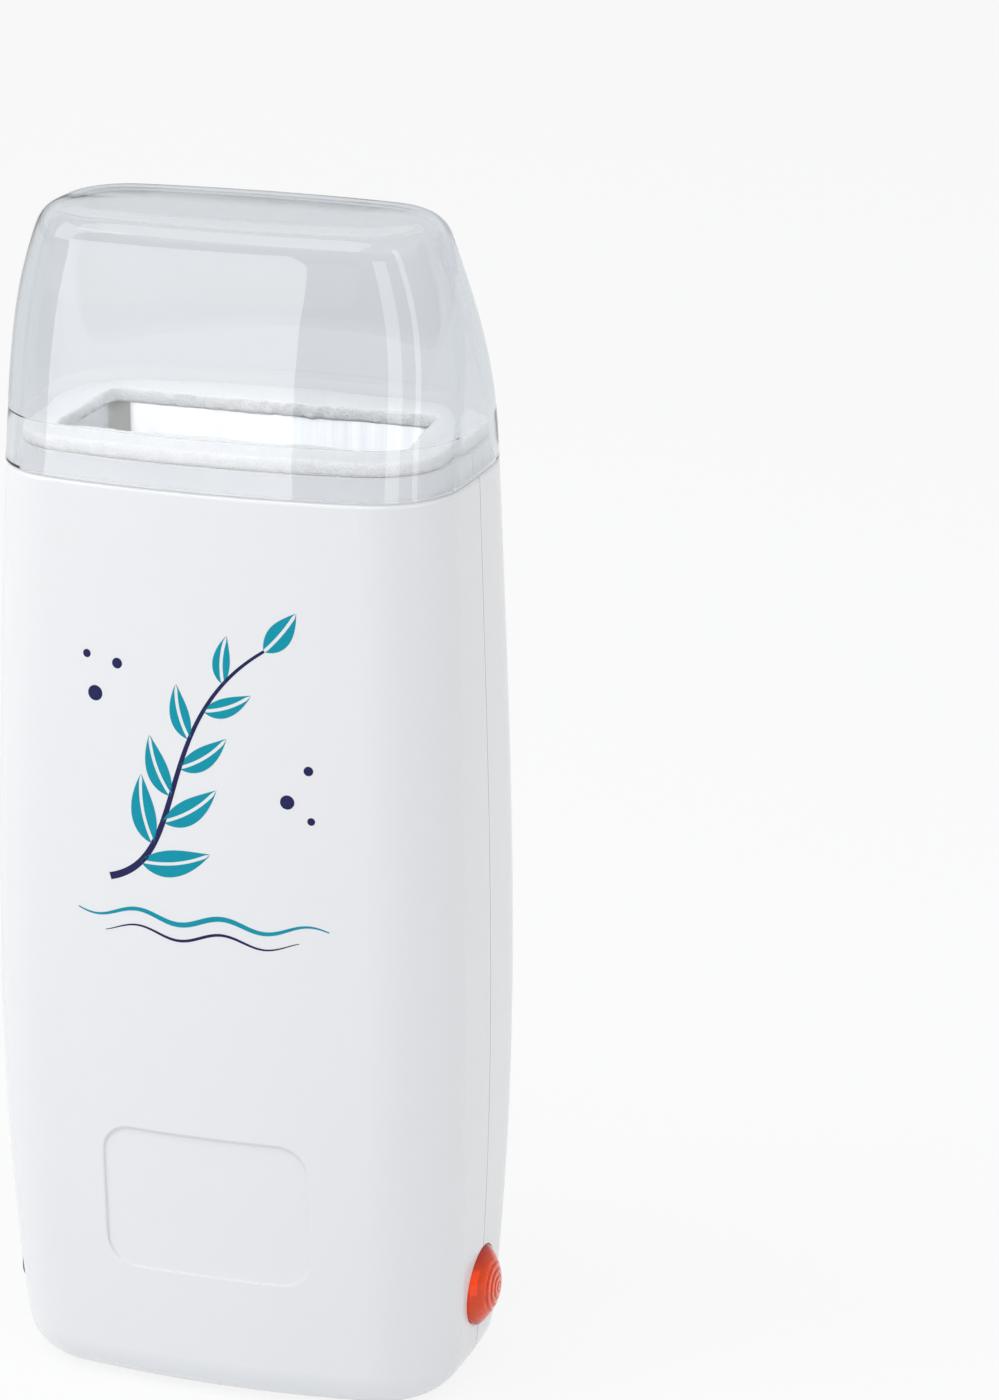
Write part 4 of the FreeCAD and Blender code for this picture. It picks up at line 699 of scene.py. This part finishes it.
# %% Seam tongue
TONGUE_DEEP, TONGUE_THICK, TONGUE_HALF = 0.8 * MM, 0.5 * MM, 0.6 * MM
TONGUE_LEVELS = [v * MM for v in range(26, 154, 2)]
BESIDE_SEAM = 0.4 * MM
shell_faces = surface_of("front_shell")
tongue = bmesh.new()
for side in (-1, 1):
    bars = []
    for level in TONGUE_LEVELS:
        start = Vector((side * FAR, -BESIDE_SEAM, level))
        outer_x = shell_faces.ray_cast(start, Vector((-side, 0, 0)))[0].x - side * TONGUE_DEEP
        inner_x = outer_x - side * TONGUE_THICK
        bars.append([tongue.verts.new((x, y, level)) for x, y in (
            (outer_x, -TONGUE_HALF), (outer_x, TONGUE_HALF),
            (inner_x, TONGUE_HALF), (inner_x, -TONGUE_HALF))])
    for low_bar, high_bar in zip(bars, bars[1:]):
        for k in range(4):
            after = (k + 1) % 4
            tongue.faces.new((low_bar[k], low_bar[after], high_bar[after], high_bar[k]))
    tongue.faces.new(bars[0])
    tongue.faces.new(bars[-1])
bmesh.ops.recalc_face_normals(tongue, faces=tongue.faces)
seam_tongue = sewn(tongue, "seam_tongue", WHITE)
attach(seam_tongue, HOUSING)
print("tongue:", len(seam_tongue.data.polygons), "faces")

# %% [markdown]
# ## Small lamps for the mouth
#
# Under the hood and down in the well the big lamps arrive weakened. A photographer would point a
# small lamp into the mouth. We take two, one for the metal lining and one for the foam, and
# light linking keeps each off everything else.

# %% The lamps for the mouth
WELL_TOP = Vector((0, 0.012, 0.160))
SMALL_LAMP = (0.12, 0.12)
well_lamp = softbox("well_lamp", WELL_TOP + Vector((-0.10, -0.50, 0.26)), WELL_TOP, SMALL_LAMP, 5.0)
foam_lamp = softbox("foam_lamp", WELL_TOP + Vector((-0.08, -0.30, 0.45)), WELL_TOP, SMALL_LAMP, 0.5)


def reaches(lamp, *names):
    """Let a lamp light only the objects that are named."""
    lit = bpy.data.collections.new(lamp.name + "_reaches")
    for name in names:
        lit.objects.link(bpy.data.objects[name])
    lamp.light_linking.receiver_collection = lit
    print(lamp.name, "reaches", names)


reaches(well_lamp, "front_heat_plate", "rear_heat_plate")
reaches(foam_lamp, "cut_foam_gasket")

# %% [markdown]
# ## The clear hood
#
# Clear plastic shows every facet of a mesh twice, once in reflection and once in refraction, so
# triangles cut for a machine aren't good enough here. We lay an even grid over the CAD hood. Each
# column of the grid has an anchor on a short line inside the hood and looks outward from it.
# Level rays find the walls; above a certain height the rays tilt up, degree by degree, and
# follow the rounded crown to its middle. A ray from the anchor finds the inside, and the same
# ray shot back from far away finds the outside.

# %% Rays for the hood
HOOD_LOW, HOOD_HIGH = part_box("cover")
hood_faces = surface_of("cover")
ANCHOR_REACH, ANCHOR_Y = 17 * MM, -2 * MM
NECK_HIGH, STEP_HIGH = 3.8 * MM, 8.2 * MM  # above the shoulder of the housing
STEP_LEVEL = SHELL_HIGH.z - NECK_HIGH + STEP_HIGH
TILT_LEVEL = HOOD_HIGH.z - 10.6 * MM
LONG, TURNS = 56, 120  # columns along a face and round an end

columns = [(ANCHOR_REACH * (2 * k / LONG - 1), math.pi * 1.5) for k in range(LONG)]
columns += [(ANCHOR_REACH, math.pi * (1.5 + k / TURNS)) for k in range(TURNS)]
columns += [(ANCHOR_REACH * (1 - 2 * k / LONG), math.pi * 0.5) for k in range(LONG)]
columns += [(-ANCHOR_REACH, math.pi * (0.5 + k / TURNS)) for k in range(TURNS)]
tilts = [math.radians(v) for v in (*range(3, 15, 3), *range(15, 50), *range(50, 90, 4), 89.5)]


def levels(low, high, count):
    """Even heights from low to high."""
    return [low + (high - low) * k / count for k in range(count + 1)]


def looked_up(level, tilt, outside):
    """One ring of points, seen from the anchors at a height and a tilt."""
    ring = []
    for x, angle in columns:
        way = Vector((math.cos(angle) * math.cos(tilt), math.sin(angle) * math.cos(tilt), math.sin(tilt)))
        anchor = Vector((x, ANCHOR_Y, level))
        start, sight = (anchor + way * FAR, -way) if outside else (anchor, way)
        ring.append(tuple(hood_faces.ray_cast(start, sight)[0]))
    return ring


def wall_ring(level, outside, nudge=0.0):
    """A level ring; the nudge looks just above or below an edge."""
    return [(x, y, level) for x, y, _ in looked_up(level + nudge, 0.0, outside)]


def crown_ring(tilt, outside):
    """A ring over the crown."""
    return looked_up(TILT_LEVEL, tilt, outside)


print("columns:", len(columns), "step at mm:", round(STEP_LEVEL / MM, 1))

# %% [markdown]
# The rays land on flat facets, so the grid still carries their pattern. Averaging every point
# with its four neighbours a few times irons it out. The points move by hundredths of a
# millimetre, but the surface directions, which are what refraction reads, become smooth. The
# first and last rings of each run stay where they are, so the hood keeps its crisp foot and its
# inner step.
#
# Light that is caught between two surfaces that aren't parallel draws dark bands. So the crown
# gets an even wall: each inner point is its outer one, moved in against the surface direction.
# The wall's thickness runs smoothly from what the rays found at the last level ring to what they
# found at the middle of the crown.

# %% Iron the grid
def ironed(rings, rounds=14):
    """Average a run of rings, with its first and last ring held."""
    grid = numpy.array(rings)
    for _ in range(rounds):
        along = (numpy.roll(grid, 1, axis=1) + numpy.roll(grid, -1, axis=1)) / 2
        across_rings = (grid[:-2] + grid[2:]) / 2
        grid[1:-1] = grid[1:-1] * 0.4 + along[1:-1] * 0.3 + across_rings * 0.3
    return grid


NUDGE = 0.03 * MM
FOOT = HOOD_LOW.z
outer = ironed([wall_ring(v, True, NUDGE if v == FOOT else 0) for v in levels(FOOT, TILT_LEVEL, 44)]
               + [crown_ring(v, True) for v in tilts])
skirt = ironed([wall_ring(v, False, NUDGE if v == FOOT else -NUDGE) for v in levels(FOOT, STEP_LEVEL, 10)])
inside = numpy.array(
    [wall_ring(v, False, NUDGE if v == STEP_LEVEL else 0) for v in levels(STEP_LEVEL, TILT_LEVEL, 34)]
    + [crown_ring(v, False) for v in tilts])
print("rings:", len(outer), len(skirt), len(inside))

# %% Even the crown's wall
round_about = numpy.roll(outer, -1, axis=1) - numpy.roll(outer, 1, axis=1)
faces_out = numpy.cross(round_about, numpy.gradient(outer, axis=0))
faces_out /= numpy.linalg.norm(faces_out, axis=2, keepdims=True)
crown = len(tilts)
wall = numpy.linalg.norm(outer[-crown - 1] - inside[-crown - 1], axis=1)
crown_wall = outer[-1, :, 2].max() - inside[-1, :, 2].max()
for k in range(-crown, 0):
    share = (k + 1 + crown) / crown
    share = share * share * (3 - 2 * share)
    thick = wall * (1 - share) + crown_wall * share
    inside[k] = outer[k] - faces_out[k] * thick[:, None]
inner = ironed(inside)
print("hood wall in mm:", [round(v / MM, 2) for v in (wall.min(), wall.max(), crown_wall)])

# %% Sew the hood
hood = bmesh.new()
runs = [outer[::-1], skirt, inner]
rows = [[hood.verts.new(point) for point in ring] for run in runs for ring in run]
for low_row, high_row in zip(rows, rows[1:]):
    for k in range(len(columns)):
        after = (k + 1) % len(columns)
        hood.faces.new((low_row[k], low_row[after], high_row[after], high_row[k]))
for row in (rows[0], rows[-1]):
    bmesh.ops.contextual_create(hood, geom=row)
bmesh.ops.recalc_face_normals(hood, faces=hood.faces)
clear_hood = sewn(hood, "clear_hood", HOOD)
smooth(clear_hood.data)
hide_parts("cover")
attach(clear_hood, COVER)
reaches(front_panel, "clear_hood")
reaches(side_panel, "clear_hood")
print("hood:", len(clear_hood.data.polygons), "faces")

# %% [markdown]
# ## The printed ornament
#
# The front carries a large pad-printed motif in teal and navy. Ours is a leafy sprig over two
# waves. Ink has almost no thickness, but it follows the barrel-shaped face, so we draw the motif
# flat in millimetres and drop every point onto the shell with a ray. Everything is made of one
# kind of patch: a strip between a left and a right edge.

# %% Ink
def printing_ink(name, thin, full):
    """Dull ink that lies a little thinner in places."""
    material, root = fresh(name)
    coat = grain(root, 420.0, detail=4.0)
    return finished(material, root, {
        "Base Color": mixed(coat, (*thin, 1), (*full, 1)), "Roughness": 0.26 + coat * 0.14,
        "Specular IOR Level": 0.15, "Normal": bumped(coat, 0.01 * MM, 0.3)})


TEAL = printing_ink("teal_ink", (0.006, 0.345, 0.455), (0.002, 0.300, 0.405))
NAVY = printing_ink("navy_ink", (0.024, 0.024, 0.110), (0.015, 0.016, 0.088))
print("inks:", TEAL.name, NAVY.name)

# %% Strips on the face
ART_MIDDLE = (0.5, 113.0)
INK_LIFT = 0.02 * MM


def on_face(x, z):
    """A flat point in mm, dropped onto the front face and lifted by the ink."""
    start = Vector(((x + ART_MIDDLE[0]) * MM, -FAR, (z + ART_MIDDLE[1]) * MM))
    hit, normal = shell_faces.ray_cast(start, Vector((0, 1, 0)))[:2]
    return hit + normal * INK_LIFT


def strip(sheet, left, right, lanes=4):
    """Faces between two rows of flat points."""
    rows = []
    for (x0, z0), (x1, z1) in zip(left, right):
        rows.append([sheet.verts.new(on_face(x0 + (x1 - x0) * k / lanes, z0 + (z1 - z0) * k / lanes))
                     for k in range(lanes + 1)])
    for here, there in zip(rows, rows[1:]):
        for k in range(lanes):
            sheet.faces.new((here[k], here[k + 1], there[k + 1], there[k]))


def line(sheet, spine, width):
    """A stroke along a spine; width is a function of the way along it."""
    left, right = [], []
    for k, (x, z) in enumerate(spine):
        ahead, back = spine[min(k + 1, len(spine) - 1)], spine[max(k - 1, 0)]
        dx, dz = ahead[0] - back[0], ahead[1] - back[1]
        long = math.hypot(dx, dz)
        half = width(k / (len(spine) - 1)) / 2
        left.append((x - dz / long * half, z + dx / long * half))
        right.append((x + dz / long * half, z - dx / long * half))
    strip(sheet, left, right)


RIB_HALF = 0.28


def leaf(sheet, x, z, heading, long, wide, bend):
    """A leaf in two halves, with a bare midrib between them."""
    for side in (-1, 1):
        rib, rim = [], []
        for k in range(41):
            t = k / 40
            turn = heading + bend * t
            px, pz = x + long * t * math.cos(turn), z + long * t * math.sin(turn)
            bulge = wide * math.sin(math.pi * t ** 0.8) ** 0.9 + 0.02
            gap = min(RIB_HALF, bulge * 0.5)
            rib.append((px - side * gap * math.sin(turn), pz + side * gap * math.cos(turn)))
            rim.append((px - side * bulge * math.sin(turn), pz + side * bulge * math.cos(turn)))
        strip(sheet, rib, rim)


def dot(sheet, x, z, size):
    """A round dot as a strip between its lower and upper edges."""
    turns = [math.pi * k / 24 for k in range(25)]
    strip(sheet, [(x - size * math.cos(a), z - size * math.sin(a)) for a in turns],
          [(x - size * math.cos(a), z + size * math.sin(a)) for a in turns], lanes=6)


print("art middle on the face in mm:", [round(v / MM, 2) for v in on_face(0, 0)])

# %% Draw the sprig and the waves
def bezier(points, t):
    """A point on a cubic curve."""
    a, b, c, d = points
    u = 1 - t
    return tuple(u ** 3 * a[i] + 3 * u * u * t * b[i] + 3 * u * t * t * c[i] + t ** 3 * d[i] for i in (0, 1))


STEM = ((-16, -19), (-1, -15), (-9, 9), (11, 22))
DOTS = ((-18.5, 12, 1.3), (-14.5, 17.5, 0.9), (-20, 18.5, 0.7), (15, -3, 1.2), (18.5, 2.5, 0.8), (19, -6, 0.65))
teal_sheet, navy_sheet = bmesh.new(), bmesh.new()
line(navy_sheet, [bezier(STEM, k / 60) for k in range(61)], lambda t: 1.25 - 0.75 * t)
for k in range(8):
    t = 0.16 + 0.10 * k
    x, z = bezier(STEM, t)
    x2, z2 = bezier(STEM, t + 0.02)
    forward = math.atan2(z2 - z, x2 - x)
    side = 1 if k % 2 else -1
    size = 1.0 - 0.05 * k
    leaf(teal_sheet, x, z, forward + side * 0.95, 12.5 * size, 2.3 * size, -side * 0.30)
tip_x, tip_z = bezier(STEM, 1.0)
leaf(teal_sheet, tip_x, tip_z, 0.75, 8.5, 2.0, 0.15)
for spot in DOTS:
    dot(navy_sheet, *spot)
for sheet, level, width, reach in ((teal_sheet, -25.0, 0.9, 22.0), (navy_sheet, -27.8, 0.5, 17.0)):
    wave = [(x, level + 0.9 * math.sin(x * 0.42)) for x in [reach * (k / 60 - 1) for k in range(121)]]
    line(sheet, wave, lambda t, w=width: w * (0.25 + 0.75 * math.sin(math.pi * t)))

for name, sheet, ink in (("teal_print", teal_sheet, TEAL), ("navy_print", navy_sheet, NAVY)):
    printed = sewn(sheet, name, ink)
    printed.data.shade_smooth()
    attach(printed, HOUSING)
    print(name, len(printed.data.polygons), "faces")

# %% Colour view
bpy.context.scene.view_settings.view_transform = "Standard"
